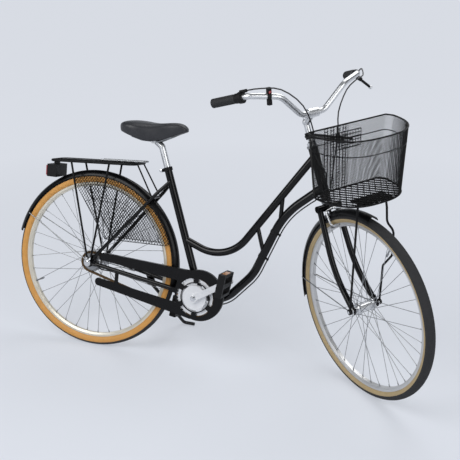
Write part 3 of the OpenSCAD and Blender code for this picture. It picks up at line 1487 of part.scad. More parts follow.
// Side stand, on the left chain stay
stand_out = 50;
stand_up = 8;
stand_pivot = bb_p + [-stand_back, stand_out, stand_up];
foot_back = 168;
foot_x = bb_p[0] - foot_back;
foot_y = 284;
foot_end = unplaced([foot_x, foot_y, stand_r]);
foot_tip = unplaced([foot_x + stand_foot_l, foot_y, stand_r]);
leg_dir = unit(foot_end - stand_pivot);
fold_out = 9;
fold_dir = [-cos(fold_out), sin(fold_out), 0];
fold_diff = leg_dir - fold_dir;
stand_axis = unit([0, -fold_diff[2], fold_diff[1]]);
pin_r = 5;
pin_bite = 1;
barrel_r = 13;
barrel_half = 8;
foot_bend_r = 14;
plate_in = 11;
plate_w = 30;
plate_l = 42;
bracket_plate_t = 6;
plate_up = [0, -stand_axis[2], stand_axis[1]];
module stand_bracket() {
    color("#1c1c1e") in_frame() difference() {
        union() {
            rod(stand_pivot - (plate_in - over) * stand_axis,
                stand_pivot + (plate_in + pin_bite) * stand_axis, pin_r);
            multmatrix([
                [1, plate_up[0], stand_axis[0], stand_pivot[0]],
                [0, plate_up[1], stand_axis[1], stand_pivot[1]],
                [0, plate_up[2], stand_axis[2], stand_pivot[2]],
                [0, 0, 0, 1]
            ]) translate([-plate_w / 2, -plate_w / 2, plate_in]) cube([plate_w, plate_l, bracket_plate_t]);
        }
        chain_stay_body(chainstay_r + seat_gap);
    }
}
module stand() {
    color("#17171a") in_frame() {
        difference() {
            union() {
                rod(stand_pivot - barrel_half * stand_axis, stand_pivot + barrel_half * stand_axis, barrel_r);
                bent_tube([stand_pivot, foot_end, foot_tip], [foot_bend_r], stand_r);
            }
            rod(stand_pivot - plate_l * stand_axis, stand_pivot + plate_l * stand_axis, pin_r + run_gap);
        }
    }
}

frame();
headset_cups();
bottom_bracket_cups();
seat_clamp();
seat_post();
saddle();
saddle_rails();
rear_mudguard();
rear_mudguard_stays();
skirt_guard_right();
skirt_guard_left();
rear_rack();
rack_clip();
rear_light();
rear_light_lens();
chain_guard();
chain();
rear_axle();
coaster_arm();
gear_cable();
gear_cable_clips();
stand_bracket();
stand();
fork();
headset_nut();
front_axle();
stem();
handlebar();
grips();
twist_shifter();
bar_bracket();
brake_lever();
brake_caliper();
brake_cable();
gear_cable_loop();
front_mudguard();
front_mudguard_stays();
basket();
basket_bracket();
basket_stays();
front_tyre();
front_rim();
front_spokes();
front_hub();
rear_tyre();
rear_rim();
rear_spokes();
rear_hub();
sprocket();
chainring();
crank_axle();
crank_right();
crank_left();
pedal_right();
pedal_left();
pedal_reflectors_right();
pedal_reflectors_left();
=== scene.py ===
"""Step-through city bicycle: its finishes, and the pieces that plain solids can't show.

Places are given in the drawing's own upright millimetres (X forward, Y left, Z up, the middle of the
wheelbase on the floor). Two matrices put them in the model's frame: one for the leaned bicycle, one for its
turned front end.
"""

import json
import math

import bmesh
import bpy
from mathutils import Matrix, Quaternion, Vector


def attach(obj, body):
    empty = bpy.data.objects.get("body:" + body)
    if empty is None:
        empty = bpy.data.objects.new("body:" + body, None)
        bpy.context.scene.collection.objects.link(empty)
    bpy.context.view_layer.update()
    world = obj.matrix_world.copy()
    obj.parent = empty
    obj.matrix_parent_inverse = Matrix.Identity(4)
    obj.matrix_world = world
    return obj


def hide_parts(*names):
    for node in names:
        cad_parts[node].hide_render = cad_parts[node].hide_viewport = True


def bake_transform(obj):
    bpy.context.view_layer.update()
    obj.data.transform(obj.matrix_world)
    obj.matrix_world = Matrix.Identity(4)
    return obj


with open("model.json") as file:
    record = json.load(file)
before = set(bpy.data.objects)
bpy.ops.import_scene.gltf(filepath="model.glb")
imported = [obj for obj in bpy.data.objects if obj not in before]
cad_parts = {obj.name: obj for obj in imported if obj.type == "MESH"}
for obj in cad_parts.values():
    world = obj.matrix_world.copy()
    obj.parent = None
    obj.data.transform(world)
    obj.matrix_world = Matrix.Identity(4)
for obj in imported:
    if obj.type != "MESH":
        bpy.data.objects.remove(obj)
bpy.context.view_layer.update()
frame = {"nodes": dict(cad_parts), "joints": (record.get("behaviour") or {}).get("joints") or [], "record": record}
nodes = frame["nodes"]
joints = {joint["name"]: joint for joint in frame["joints"]}

# Sizes of the drawing, in millimetres and degrees
MM = 0.001
HEAD_ANGLE = 69
HALF_WHEELBASE = 561.5
WHEEL_R = 350.5
TYRE_RING_R = 331
TYRE_R = 19.5
RIM_R = 316
RIM_DEPTH = 15
SPOKES_PER_FAMILY = 9
SIDES = (-1, 1)
REAR_AXLE = Vector((-HALF_WHEELBASE, 0, WHEEL_R))
FRONT_AXLE = Vector((HALF_WHEELBASE, 0, WHEEL_R))
# Up along the steering axis, and forward at right angles to it
HEAD_DIR = Vector((-0.3584, 0, 0.9336))
HEAD_FWD = Vector((0.9336, 0, 0.3584))
STEM_KNUCKLE = Vector((255.3, 0, 980.6))


def drawing_axes(axle_joint, axle):
    """Matrix from the drawing's upright millimetres to the model's frame, for what carries this axle."""
    across = Vector(joints[axle_joint]["axis"])
    forward = Quaternion(across, math.radians(180 - HEAD_ANGLE)) @ Vector(joints["steering"]["axis"])
    turn = Matrix((forward, across, forward.cross(across))).transposed().to_4x4()
    at_axle = Matrix.Translation(joints[axle_joint]["pos_m"]) @ turn @ Matrix.Scale(MM, 4)
    return at_axle @ Matrix.Translation(-axle)


BIKE = drawing_axes("rear_wheel_spin", REAR_AXLE)
FRONT = drawing_axes("front_wheel_spin", FRONT_AXLE)


# Finishes


def linear(hex_colour):
    """An sRGB hex value as linear red, green, blue and alpha."""
    channels = [int(hex_colour[i : i + 2], 16) / 255 for i in (1, 3, 5)]
    return [c / 12.92 if c <= 0.04045 else ((c + 0.055) / 1.055) ** 2.4 for c in channels] + [1]


def put(material, kind, inputs=None, **settings):
    """Adds a shader node with its settings, and links or sets its inputs by name or number."""
    tree = material.node_tree
    made = tree.nodes.new("ShaderNode" + kind)
    for name, value in settings.items():
        setattr(made, name, value)
    for name, value in (inputs or {}).items():
        if isinstance(value, bpy.types.NodeSocket):
            tree.links.new(value, made.inputs[name])
        else:
            made.inputs[name].default_value = value
    return made


# Most of a noise lies between these two values
NOISE_LOW, NOISE_HIGH = 0.3, 0.7
GRAIN_STRENGTH = 0.6


def finish(name, tones, patch_mm, rough, grain_mm, grain_depth, sockets=None, pebbled=False):
    """A surface whose colour and gloss drift between two tones in patches, with a fine grain pressed in.

    The grain's depth is in millimetres too. Sockets holds what else the shader is given.
    """
    material = bpy.data.materials.new(name)
    material.use_nodes = True
    material.node_tree.nodes.clear()
    place = put(material, "TexCoord").outputs["Object"]
    patch_scale, grain_scale = 1 / (patch_mm * MM), 1 / (grain_mm * MM)
    drift = {"Vector": place, "Scale": patch_scale, "Detail": 4, "Roughness": 0.6}
    patches = put(material, "TexNoise", drift).outputs["Fac"]
    colours = {0: patches, 6: linear(tones[0]), 7: linear(tones[1])}
    tone = put(material, "Mix", colours, data_type="RGBA").outputs[2]
    spread = {"Value": patches, "From Min": NOISE_LOW, "From Max": NOISE_HIGH}
    gloss = put(material, "MapRange", {**spread, "To Min": rough[0], "To Max": rough[1]}).outputs["Result"]
    if pebbled:
        cells = put(material, "TexVoronoi", {"Vector": place, "Scale": grain_scale}, feature="SMOOTH_F1")
        grain = cells.outputs["Distance"]
    else:
        grain = put(material, "TexNoise", {"Vector": place, "Scale": grain_scale, "Detail": 2}).outputs["Fac"]
    bump = put(material, "Bump", {"Height": grain, "Distance": grain_depth * MM, "Strength": GRAIN_STRENGTH})
    inputs = {"Base Color": tone, "Roughness": gloss, "Normal": bump.outputs["Normal"], **(sockets or {})}
    surface = put(material, "BsdfPrincipled", inputs)
    put(material, "OutputMaterial", {"Surface": surface.outputs["BSDF"]})
    return material


# Stove-enamelled steel tube: deep black under a clear gloss, with faint orange peel and a little dust
BLACK_ENAMEL = finish(
    "black_stove_enamel",
    ("#030304", "#08080a"),
    patch_mm=60,
    rough=(0.16, 0.3),
    grain_mm=2.5,
    grain_depth=0.01,
    sockets={"Specular IOR Level": 0.15, "Coat Weight": 0.25, "Coat Roughness": 0.06},
)
# Powder-coated wire and sheet: satin black, the grain of baked powder
POWDER_COAT = finish(
    "black_powder_coat",
    ("#060607", "#0e0e10"),
    patch_mm=25,
    rough=(0.4, 0.55),
    grain_mm=1.2,
    grain_depth=0.03,
    sockets={"Specular IOR Level": 0.18},
)
# Moulded polypropylene: dark, dull, finely pebbled by its mould
BLACK_PLASTIC = finish(
    "moulded_black_plastic",
    ("#09090a", "#121214"),
    patch_mm=18,
    rough=(0.42, 0.58),
    grain_mm=0.9,
    grain_depth=0.04,
    sockets={"Specular IOR Level": 0.22},
)
# Mudguards and chain guard: black, a little scuffed, softer in gloss than the tubes
GUARD_ENAMEL = finish(
    "mudguard_enamel",
    ("#050506", "#0c0c0e"),
    patch_mm=35,
    rough=(0.22, 0.4),
    grain_mm=2.0,
    grain_depth=0.015,
    sockets={"Specular IOR Level": 0.15, "Coat Weight": 0.12, "Coat Roughness": 0.15},
)
# Polished aluminium tube and forgings: bright, with long soft highlights
ALLOY = finish(
    "polished_aluminium",
    ("#cfd1d3", "#dddee0"),
    patch_mm=60,
    rough=(0.3, 0.38),
    grain_mm=6.0,
    grain_depth=0.002,
    sockets={"Metallic": 1.0},
)
# Crank and chainring: tumbled aluminium, pale and evenly soft
CRANK_ALLOY = finish(
    "tumbled_aluminium",
    ("#dcdde0", "#ebecee"),
    patch_mm=15,
    rough=(0.3, 0.42),
    grain_mm=0.7,
    grain_depth=0.02,
    sockets={"Metallic": 0.35},
)
# Chromed steel: near mirror, cool
CHROME = finish(
    "chromed_steel",
    ("#c6c8cb", "#dfe0e2"),
    patch_mm=30,
    rough=(0.07, 0.14),
    grain_mm=3.0,
    grain_depth=0.005,
    sockets={"Metallic": 1.0},
)
# Galvanised wire and turned steel: grey, weathered
STEEL = finish(
    "galvanised_steel",
    ("#7d7f82", "#a6a8aa"),
    patch_mm=12,
    rough=(0.3, 0.48),
    grain_mm=0.8,
    grain_depth=0.02,
    sockets={"Metallic": 1.0},
)
# Rear rim: anodised aluminium, a warm cream silver
CREAM_RIM = finish(
    "cream_anodised_rim",
    ("#c9c3b4", "#ded9cc"),
    patch_mm=40,
    rough=(0.32, 0.45),
    grain_mm=1.5,
    grain_depth=0.01,
    sockets={"Metallic": 0.55},
)
# Front rim: anodised aluminium, plain silver
SILVER_RIM = finish(
    "silver_anodised_rim",
    ("#b9babb", "#d2d2d2"),
    patch_mm=40,
    rough=(0.28, 0.4),
    grain_mm=1.5,
    grain_depth=0.01,
    sockets={"Metallic": 0.7},
)
# Chain: plain steel gone brown with rust and old oil
RUSTY_CHAIN = finish(
    "rusted_chain_steel",
    ("#2b2319", "#6e5434"),
    patch_mm=7,
    rough=(0.42, 0.7),
    grain_mm=1.2,
    grain_depth=0.06,
    sockets={"Metallic": 0.6},
)
# Tread rubber: dull dark grey, dusty in the grooves
TREAD_RUBBER = finish(
    "tread_rubber",
    ("#1b1b1d", "#2c2c2e"),
    patch_mm=14,
    rough=(0.68, 0.86),
    grain_mm=1.6,
    grain_depth=0.08,
)
# Gum rubber wall of the rear tyre: amber, slightly darkened in patches
AMBER_GUM = finish(
    "amber_gum_rubber",
    ("#b9823c", "#d79f55"),
    patch_mm=22,
    rough=(0.5, 0.65),
    grain_mm=1.4,
    grain_depth=0.03,
)
# Gum rubber wall of the front tyre: paler tan
TAN_GUM = finish(
    "tan_gum_rubber",
    ("#a08a63", "#b9a47c"),
    patch_mm=22,
    rough=(0.5, 0.65),
    grain_mm=1.4,
    grain_depth=0.03,
)
# Rubber of the grips: black, matt
GRIP_RUBBER = finish(
    "grip_rubber",
    ("#151517", "#222325"),
    patch_mm=12,
    rough=(0.55, 0.72),
    grain_mm=1.5,
    grain_depth=0.08,
)
# Saddle cover: charcoal vinyl with a soft sheen, its pebbled grain drawn at 2 mm so that it shows
SADDLE_VINYL = finish(
    "saddle_vinyl",
    ("#26272b", "#35363a"),
    patch_mm=30,
    rough=(0.36, 0.5),
    grain_mm=2.0,
    grain_depth=0.05,
    sockets={"Specular IOR Level": 0.35},
    pebbled=True,
)
# Rear light's lens and the strap's tag: red plastic with small prisms
RED_LENS = finish(
    "red_lens",
    ("#7d0f16", "#b3202a"),
    patch_mm=6,
    rough=(0.1, 0.2),
    grain_mm=3.0,
    grain_depth=0.25,
    sockets={"Coat Weight": 0.6},
    pebbled=True,
)
# Pedal reflectors: amber plastic with small prisms
AMBER_LENS = finish(
    "amber_reflector",
    ("#8a5620", "#c98432"),
    patch_mm=6,
    rough=(0.15, 0.28),
    grain_mm=3.0,
    grain_depth=0.25,
    sockets={"Coat Weight": 0.5},
    pebbled=True,
)
# Cable housing: smooth black vinyl
CABLE_VINYL = finish(
    "cable_vinyl",
    ("#0f0f11", "#1b1b1d"),
    patch_mm=15,
    rough=(0.34, 0.46),
    grain_mm=1.5,
    grain_depth=0.01,
)

slot_finish = {
    "black_paint": BLACK_ENAMEL,
    "black_metal": POWDER_COAT,
    "black_plastic": BLACK_PLASTIC,
    "alloy": ALLOY,
    "chrome": CHROME,
    "steel": STEEL,
    "chain_steel": RUSTY_CHAIN,
    "rubber": GRIP_RUBBER,
    "tyre": TREAD_RUBBER,
    "vinyl": SADDLE_VINYL,
    "red_lens": RED_LENS,
    "amber_lens": AMBER_LENS,
    "cable": CABLE_VINYL,
}
node_finish = {
    "rear_rim": CREAM_RIM,
    "front_rim": SILVER_RIM,
    "rear_mudguard": GUARD_ENAMEL,
    "front_mudguard": GUARD_ENAMEL,
    "crank_right": CRANK_ALLOY,
    "crank_left": CRANK_ALLOY,
    "chainring": CRANK_ALLOY,
    "chain_guard": GUARD_ENAMEL,
    "rack_clip": STEEL,
}
for entry in frame["record"]["subparts"]:
    shown = nodes[entry["node"]]
    shown.data.materials.clear()
    shown.data.materials.append(node_finish.get(entry["node"], slot_finish[entry["material_slot"]]))


# Making pieces


def piece(name, bm, place, body, slot, *finishes, sharp=35):
    """Turns a bmesh in drawing millimetres into a finished piece that rides on a body."""
    bmesh.ops.transform(bm, matrix=place, verts=bm.verts)
    bmesh.ops.recalc_face_normals(bm, faces=bm.faces)
    mesh = bpy.data.meshes.new(name)
    bm.to_mesh(mesh)
    bm.free()
    mesh.shade_smooth()
    mesh.set_sharp_from_angle(angle=math.radians(sharp))
    for one in finishes:
        mesh.materials.append(one)
    made = bpy.data.objects.new(name, mesh)
    bpy.context.scene.collection.objects.link(made)
    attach(made, body)
    return made


def wire(bm, points, radius, closed=False, roundness=2):
    """Adds a round wire along points to a bmesh."""
    curve = bpy.data.curves.new("wire", "CURVE")
    curve.dimensions = "3D"
    curve.bevel_depth = radius
    curve.bevel_resolution = roundness
    curve.use_fill_caps = True
    spline = curve.splines.new("POLY")
    spline.points.add(len(points) - 1)
    for knot, at in zip(spline.points, points):
        knot.co = (*at, 1)
    spline.use_cyclic_u = closed
    holder = bpy.data.objects.new("wire", curve)
    mesh = bpy.data.meshes.new_from_object(holder)
    bm.from_mesh(mesh)
    bpy.data.objects.remove(holder)
    bpy.data.curves.remove(curve)
    bpy.data.meshes.remove(mesh)


def turned_to(at, direction):
    """Matrix that stands a shape's own Z along a direction, at a point."""
    return Matrix.Translation(at) @ Vector(direction).to_track_quat("Z", "Y").to_matrix().to_4x4()


def peg(bm, at, direction, radius, height, sides=12, tip=None, lip=0.12):
    """Adds a short round or hexagonal peg with a softened edge, standing on a point."""
    made = bmesh.ops.create_cone(
        bm,
        cap_ends=True,
        segments=sides,
        radius1=radius,
        radius2=radius if tip is None else tip,
        depth=height,
        matrix=turned_to(at, direction) @ Matrix.Translation((0, 0, height / 2)),
    )
    edges = {edge for vert in made["verts"] for edge in vert.link_edges}
    rims = [edge for edge in edges if any(len(face.verts) > 4 for face in edge.link_faces)]
    bmesh.ops.bevel(
        bm,
        geom=rims,
        offset=lip * radius,
        segments=2,
        profile=0.5,
        affect="EDGES",
        material=-1,
        clamp_overlap=True,
    )


def trim(bm, at, out):
    """Cuts a bmesh by a plane and drops what lies outside."""
    geom = bm.verts[:] + bm.edges[:] + bm.faces[:]
    bmesh.ops.bisect_plane(bm, geom=geom, dist=0.001, plane_co=at, plane_no=out, clear_outer=True)


def diamond_net(width, height, cell_w, cell_h):
    """A flat net of diamond cells in X and Z, from 0 to width and 0 to height, as faces."""
    bm = bmesh.new()
    reach = math.ceil(max(width / cell_w, height / cell_h)) + 1
    bmesh.ops.create_grid(bm, x_segments=2 * reach, y_segments=2 * reach, size=reach)
    for turn, axis in ((45, "Z"), (90, "X")):
        matrix = Matrix.Rotation(math.radians(turn), 3, axis)
        bmesh.ops.rotate(bm, verts=bm.verts, cent=(0, 0, 0), matrix=matrix)
    # A unit square that stands on its corner is the square root of 2 wide
    per_cell = math.sqrt(0.5)
    bmesh.ops.scale(bm, verts=bm.verts, vec=(per_cell * cell_w, 1, per_cell * cell_h))
    bmesh.ops.translate(bm, verts=bm.verts, vec=(width / 2, 0, height / 2))
    trim(bm, (0, 0, 0), (-1, 0, 0))
    trim(bm, (width, 0, 0), (1, 0, 0))
    trim(bm, (0, 0, 0), (0, 0, -1))
    trim(bm, (0, 0, height), (0, 0, 1))
    return bm


def woven(bm, thickness):
    """Turns the faces of a net into wires along their edges."""
    bmesh.ops.wireframe(
        bm,
        faces=bm.faces,
        thickness=thickness,
        use_replace=True,
        use_boundary=True,
        use_even_offset=False,
    )


# Tyres: a spun section with raised tread blocks between gum walls

# Half-angle of the tread round the tyre's section
REAR_TREAD_EDGE = 66
FRONT_TREAD_EDGE = 92
TREAD_DEPTH = 0.8
TREAD_ROWS = 14
WALL_ROWS = 7
TREAD_BLOCKS = 168
BLOCK_EDGE = 1.1
BEAD_GAP = 0.3
BEAD_ANGLE = math.degrees(math.acos((RIM_R + BEAD_GAP - TYRE_RING_R) / TYRE_R))


def tyre(name, body, place, axle, gum, edge):
    """A tyre's rubber: raised tread blocks out to an edge angle, then gum walls down to the rim."""
    bm = bmesh.new()
    wall = [BEAD_ANGLE + (edge - BEAD_ANGLE) * i / WALL_ROWS for i in range(WALL_ROWS)]
    tread = [edge - 2 * edge * i / TREAD_ROWS for i in range(TREAD_ROWS + 1)]
    section = []
    for angle in wall + tread + [-a for a in reversed(wall)]:
        r = TYRE_R - TREAD_DEPTH if abs(angle) < edge else TYRE_R
        turn = math.radians(angle)
        section.append(bm.verts.new(axle + Vector((0, r * math.sin(turn), TYRE_RING_R + r * math.cos(turn)))))
    outline = [bm.edges.new(pair) for pair in zip(section, section[1:] + section[:1])]
    bmesh.ops.spin(
        bm,
        geom=section + outline,
        cent=axle,
        axis=(0, 1, 0),
        dvec=(0, 0, 0),
        angle=math.tau,
        steps=TREAD_BLOCKS,
        use_merge=True,
    )
    bmesh.ops.recalc_face_normals(bm, faces=bm.faces)
    blocks = []
    for face in bm.faces:
        middle = face.calc_center_median() - axle
        out = math.hypot(middle.x, middle.z) - TYRE_RING_R
        angle = abs(math.degrees(math.atan2(middle.y, out)))
        face.material_index = 1 if angle > edge else 0
        if angle < edge - 2 * edge / TREAD_ROWS:
            blocks.append(face)
    bmesh.ops.inset_individual(
        bm, faces=blocks, thickness=BLOCK_EDGE, depth=TREAD_DEPTH, use_even_offset=True
    )
    made = piece(name + "_rubber", bm, place, body, "tyre", TREAD_RUBBER, gum, sharp=30)
    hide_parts(name)


tyre("rear_tyre", "rear_wheel", BIKE, REAR_AXLE, AMBER_GUM, REAR_TREAD_EDGE)
tyre("front_tyre", "front_wheel", FRONT, FRONT_AXLE, TAN_GUM, FRONT_TREAD_EDGE)


# Spoke nipples and valves

NIPPLE_R = 2.3
NIPPLE_TIP_R = 0.7 * NIPPLE_R
NIPPLE_L = 11
NIPPLE_FOOT_R = RIM_R - RIM_DEPTH + 1
# Distance from the rim's middle, for the two ways that spokes lean
NIPPLE_Y = {-1: 1, 1: 3.5}
# In steps from one spoke to the next of its family: how far its hub end is turned, and its rim end from that
SPOKE_HUB_TURN = 1 / 8
SPOKE_CROSS_TURN = 1.5
VALVE_R = 3
VALVE_L = 36
# Radius and height
VALVE_NUT = (1.9 * VALVE_R, 4)
VALVE_CAP = (1.35 * VALVE_R, 14)
VALVE_CAP_TIP_R = 0.9 * VALVE_R
VALVE_CAP_FOOT_R = RIM_R - RIM_DEPTH - VALVE_L + 12
REAR_VALVE_TURN = 205
FRONT_VALVE_TURN = 62


def rim_fittings(name, body, place, axle, valve_turn):
    """The nipples that hold a wheel's spokes to its rim, and the valve."""
    bm = bmesh.new()
    step = 360 / SPOKES_PER_FAMILY
    for side in SIDES:
        first = 0 if side > 0 else step / 2
        for i in range(SPOKES_PER_FAMILY):
            for lean in SIDES:
                turn = math.radians(first + i * step + lean * (SPOKE_HUB_TURN + SPOKE_CROSS_TURN) * step)
                out = Vector((math.cos(turn), 0, math.sin(turn)))
                foot = axle + NIPPLE_FOOT_R * out + Vector((0, side * NIPPLE_Y[lean], 0))
                peg(bm, foot, -out, NIPPLE_R, NIPPLE_L, sides=8, tip=NIPPLE_TIP_R)
    turn = math.radians(valve_turn)
    out = Vector((math.cos(turn), 0, math.sin(turn)))
    foot = axle + NIPPLE_FOOT_R * out
    peg(bm, foot, -out, VALVE_R, VALVE_L)
    peg(bm, foot + out, -out, *VALVE_NUT)
    peg(bm, axle + VALVE_CAP_FOOT_R * out, -out, *VALVE_CAP, tip=VALVE_CAP_TIP_R)
    piece(name, bm, place, body, "steel", STEEL)


rim_fittings("rear_rim_fittings", "rear_wheel", BIKE, REAR_AXLE, REAR_VALVE_TURN)
rim_fittings("front_rim_fittings", "front_wheel", FRONT, FRONT_AXLE, FRONT_VALVE_TURN)


# Saddle: a padded vinyl cover, lofted from round sections, over a plastic pan

SADDLE_REAR_X = -467
SADDLE_L = 264
SADDLE_TOP_Z = 926
PAN_Z = 869
# Share of the length, half-width, drop of the top, drop of the hem
SADDLE_SECTIONS = (
    (0.0, 44, 15, 37),
    (0.03, 68, 7, 42),
    (0.1, 87, 1, 46),
    (0.2, 94, 0, 54),
    (0.3, 93, 1, 62),
    (0.4, 84, 3, 70),
    (0.5, 68, 4, 72),
    (0.6, 51, 2, 69),
    (0.7, 39, -2, 60),
    (0.8, 32, -5, 46),
    (0.9, 27, -4, 35),
    (0.97, 20, 6, 28),
    (1.0, 10, 17, 25),
)
SECTION_POINTS = 36
ROUND_SHARE = 0.72
WAIST_SHARE = 0.55
# On the unit circle that each section starts from: where the hem turns under, where the pan starts, how far
# out the pan reaches, and the width of its slope
HEM_TURN = 0.5
PAN_FROM = -0.4
PAN_REACH = 0.77
PAN_SLOPE = 0.3


def saddle():
    """The cover hangs past the pan at its hem, so the underside is drawn up to the pan's height."""
    bm = bmesh.new()
    rings, pan = [], set()
    for share, half_w, top, low in SADDLE_SECTIONS:
        ring = bmesh.ops.create_circle(bm, segments=SECTION_POINTS, radius=1)["verts"]
        top_z, low_z = SADDLE_TOP_Z - top, SADDLE_TOP_Z - low
        waist_z = low_z + WAIST_SHARE * (top_z - low_z)
        for vert in ring:
            across, up = vert.co.x, vert.co.y
            side = math.copysign(abs(across) ** ROUND_SHARE, across) * half_w
            height = waist_z + abs(up) ** ROUND_SHARE * (top_z - waist_z)
            if up < 0:
                height = waist_z - min(-up / HEM_TURN, 1) * (waist_z - low_z)
                rise = min(max((PAN_REACH - abs(across)) / PAN_SLOPE, 0), 1)
                height += rise * max(PAN_Z - low_z, 0)
            if up < PAN_FROM:
                pan.add(vert)
            vert.co = (SADDLE_REAR_X + share * SADDLE_L, side, height)
        rings.append(set(ring))
    loops = [[edge for edge in bm.edges if all(vert in ring for vert in edge.verts)] for ring in rings]
    for one, other in zip(loops, loops[1:]):
        bmesh.ops.bridge_loops(bm, edges=one + other)
    for end in (loops[0], loops[-1]):
        bmesh.ops.contextual_create(bm, geom=end)
    for face in bm.faces:
        face.material_index = 1 if all(vert in pan for vert in face.verts) else 0
    made = piece("saddle_cover", bm, BIKE, "frame", "vinyl", SADDLE_VINYL, BLACK_PLASTIC, sharp=80)
    smooth = made.modifiers.new("rounding", "SUBSURF")
    smooth.levels = smooth.render_levels = 2
    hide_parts("saddle")


saddle()


# Basket: woven wire walls and floor between round wires, in the shape of a letter D

BASKET_BACK = FRONT_AXLE + Vector((-83.5, 0, 434.5))
BASKET_TILT = 4
BASKET_H = 236
BASKET_HALF_W = 181
BASKET_DEPTH = 193
# How far the top of the back wall leans forward
BASKET_LEAN = 3
FLOOR_DEPTH_SHARE = 0.985
FLOOR_WIDTH_SHARE = 0.873
D_POWER = 0.74
# Degrees round the front of the D, from one back corner to the other
D_TURNS = range(4, 178, 2)
BACK_CORNER_SHARE = 0.93
BASKET_INSET = 1.6
OUTLINE_POINTS = 120
# Width and height of the cells in each net, and the width of its strands
WALL_CELL = (6.5, 8)
STRAND_W = 1.4
STRAND_DEPTH_SHARE = 1.3
FLOOR_CELL = (34, 26)
FLOOR_STRAND_W = 5
FLOOR_RISE = 1.6
# Height and radius of the round wires
BASKET_WIRES = ((BASKET_H - 2.8, 2.8), (0.76 * BASKET_H, 1.7), (3.2, 3))
IN_BASKET = Matrix.Translation(BASKET_BACK) @ Matrix.Rotation(math.radians(BASKET_TILT), 4, "Y")


def d_shape():
    """Points round the basket from the middle of its back, in shares of its depth and half-width."""
    points = [(0, 0), (0, -BACK_CORNER_SHARE)]
    for turn in D_TURNS:
        along, across = math.sin(math.radians(turn)), math.cos(math.radians(turn))
        points.append((along**D_POWER, -math.copysign(abs(across) ** D_POWER, across)))
    return points + [(0, BACK_CORNER_SHARE), (0, 0)]


D_SHAPE = d_shape()
D_RIM = [Vector((along * BASKET_DEPTH, across * BASKET_HALF_W)) for along, across in D_SHAPE]
D_STEPS = [(b - a).length for a, b in zip(D_RIM, D_RIM[1:])]
D_LENGTH = sum(D_STEPS)


def basket_point(along, height):
    """Point on the basket's wall: distance round its outline at the rim, and height above its floor."""
    k = 0
    while k < len(D_STEPS) - 1 and along > D_STEPS[k]:
        along -= D_STEPS[k]
        k += 1
    (d0, w0), (d1, w1) = D_SHAPE[k], D_SHAPE[k + 1]
    part = min(along / D_STEPS[k], 1)
    rise = height / BASKET_H
    depth = (FLOOR_DEPTH_SHARE + (1 - FLOOR_DEPTH_SHARE) * rise) * BASKET_DEPTH - 2 * BASKET_INSET
    half_w = (FLOOR_WIDTH_SHARE + (1 - FLOOR_WIDTH_SHARE) * rise) * BASKET_HALF_W - BASKET_INSET
    x = (d0 + part * (d1 - d0)) * depth + BASKET_INSET + BASKET_LEAN * rise
    return IN_BASKET @ Vector((x, (w0 + part * (w1 - w0)) * half_w, height))


def basket_walls():
    """The net is woven flat, then bent round the outline."""
    bm = diamond_net(D_LENGTH, BASKET_H, *WALL_CELL)
    woven(bm, STRAND_W)
    for vert in bm.verts:
        along, out, height = vert.co
        along, height = min(max(along, 0), D_LENGTH), min(max(height, 0), BASKET_H)
        before, after = max(along - 1, 0), min(along + 1, D_LENGTH)
        tangent = basket_point(after, height) - basket_point(before, height)
        normal = tangent.cross(Vector((0, 0, 1))).normalized()
        vert.co = basket_point(along, height) + STRAND_DEPTH_SHARE * out * normal
    made = piece("basket_walls", bm, FRONT, "steering", "black_metal", POWDER_COAT)
    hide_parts("basket")


def basket_rims(around):
    """Round wires along the walls, through points given by their distance round the outline."""
    bm = bmesh.new()
    for height, radius in BASKET_WIRES:
        wire(bm, [basket_point(along, height) for along in around], radius, closed=True)
    piece("basket_rims", bm, FRONT, "steering", "black_metal", POWDER_COAT)


def basket_floor(around):
    """A flat net, cut along the foot of the walls."""
    bm = diamond_net(BASKET_DEPTH, 2 * BASKET_HALF_W, *FLOOR_CELL)
    for vert in bm.verts:
        vert.co = IN_BASKET @ Vector((vert.co.x, vert.co.z - BASKET_HALF_W, FLOOR_RISE))
    outline = [basket_point(along, 0) for along in around]
    for a, b in zip(outline, outline[1:] + outline[:1]):
        edge = b - a
        trim(bm, a, Vector((edge.y, -edge.x, 0)))
    woven(bm, FLOOR_STRAND_W)
    piece("basket_floor", bm, FRONT, "steering", "black_metal", POWDER_COAT)


basket_outline = [D_LENGTH * i / OUTLINE_POINTS for i in range(OUTLINE_POINTS)]
basket_walls()
basket_rims(basket_outline)
basket_floor(basket_outline)


# Basket bracket: a punched plate on two arms from the stem, with punched strips down the back wall

CLAMP_DROP = 63
CLAMP_H = 24
CLAMP_R = 16.3
ARM_END = Vector((490.7, 0, 959))
ARM_R = 5
ARM_Y = 18
HOLE_STEP = 12
# Holes across and up, and the middle of each sheet from the foot of the back wall
BRACKET_HOLES = (10, 5)
BRACKET_AT = (-1.7, 0, 174.6)
STRIP_HOLES = (1, 19)
STRIP_PLACES = (-16, -42, -68, -94)
STRIP_X = 2.5
SHEET_WEB = 4.5
SHEET_T_SHARE = 0.4
# A grid's own X and Y stand along the back wall's width and height
UPRIGHT = Matrix(((0, 0, 1, 0), (1, 0, 0, 0), (0, 1, 0, 0), (0, 0, 0, 1)))
BACK_WALL = IN_BASKET @ Matrix.Rotation(math.atan2(BASKET_LEAN, BASKET_H), 4, "Y")


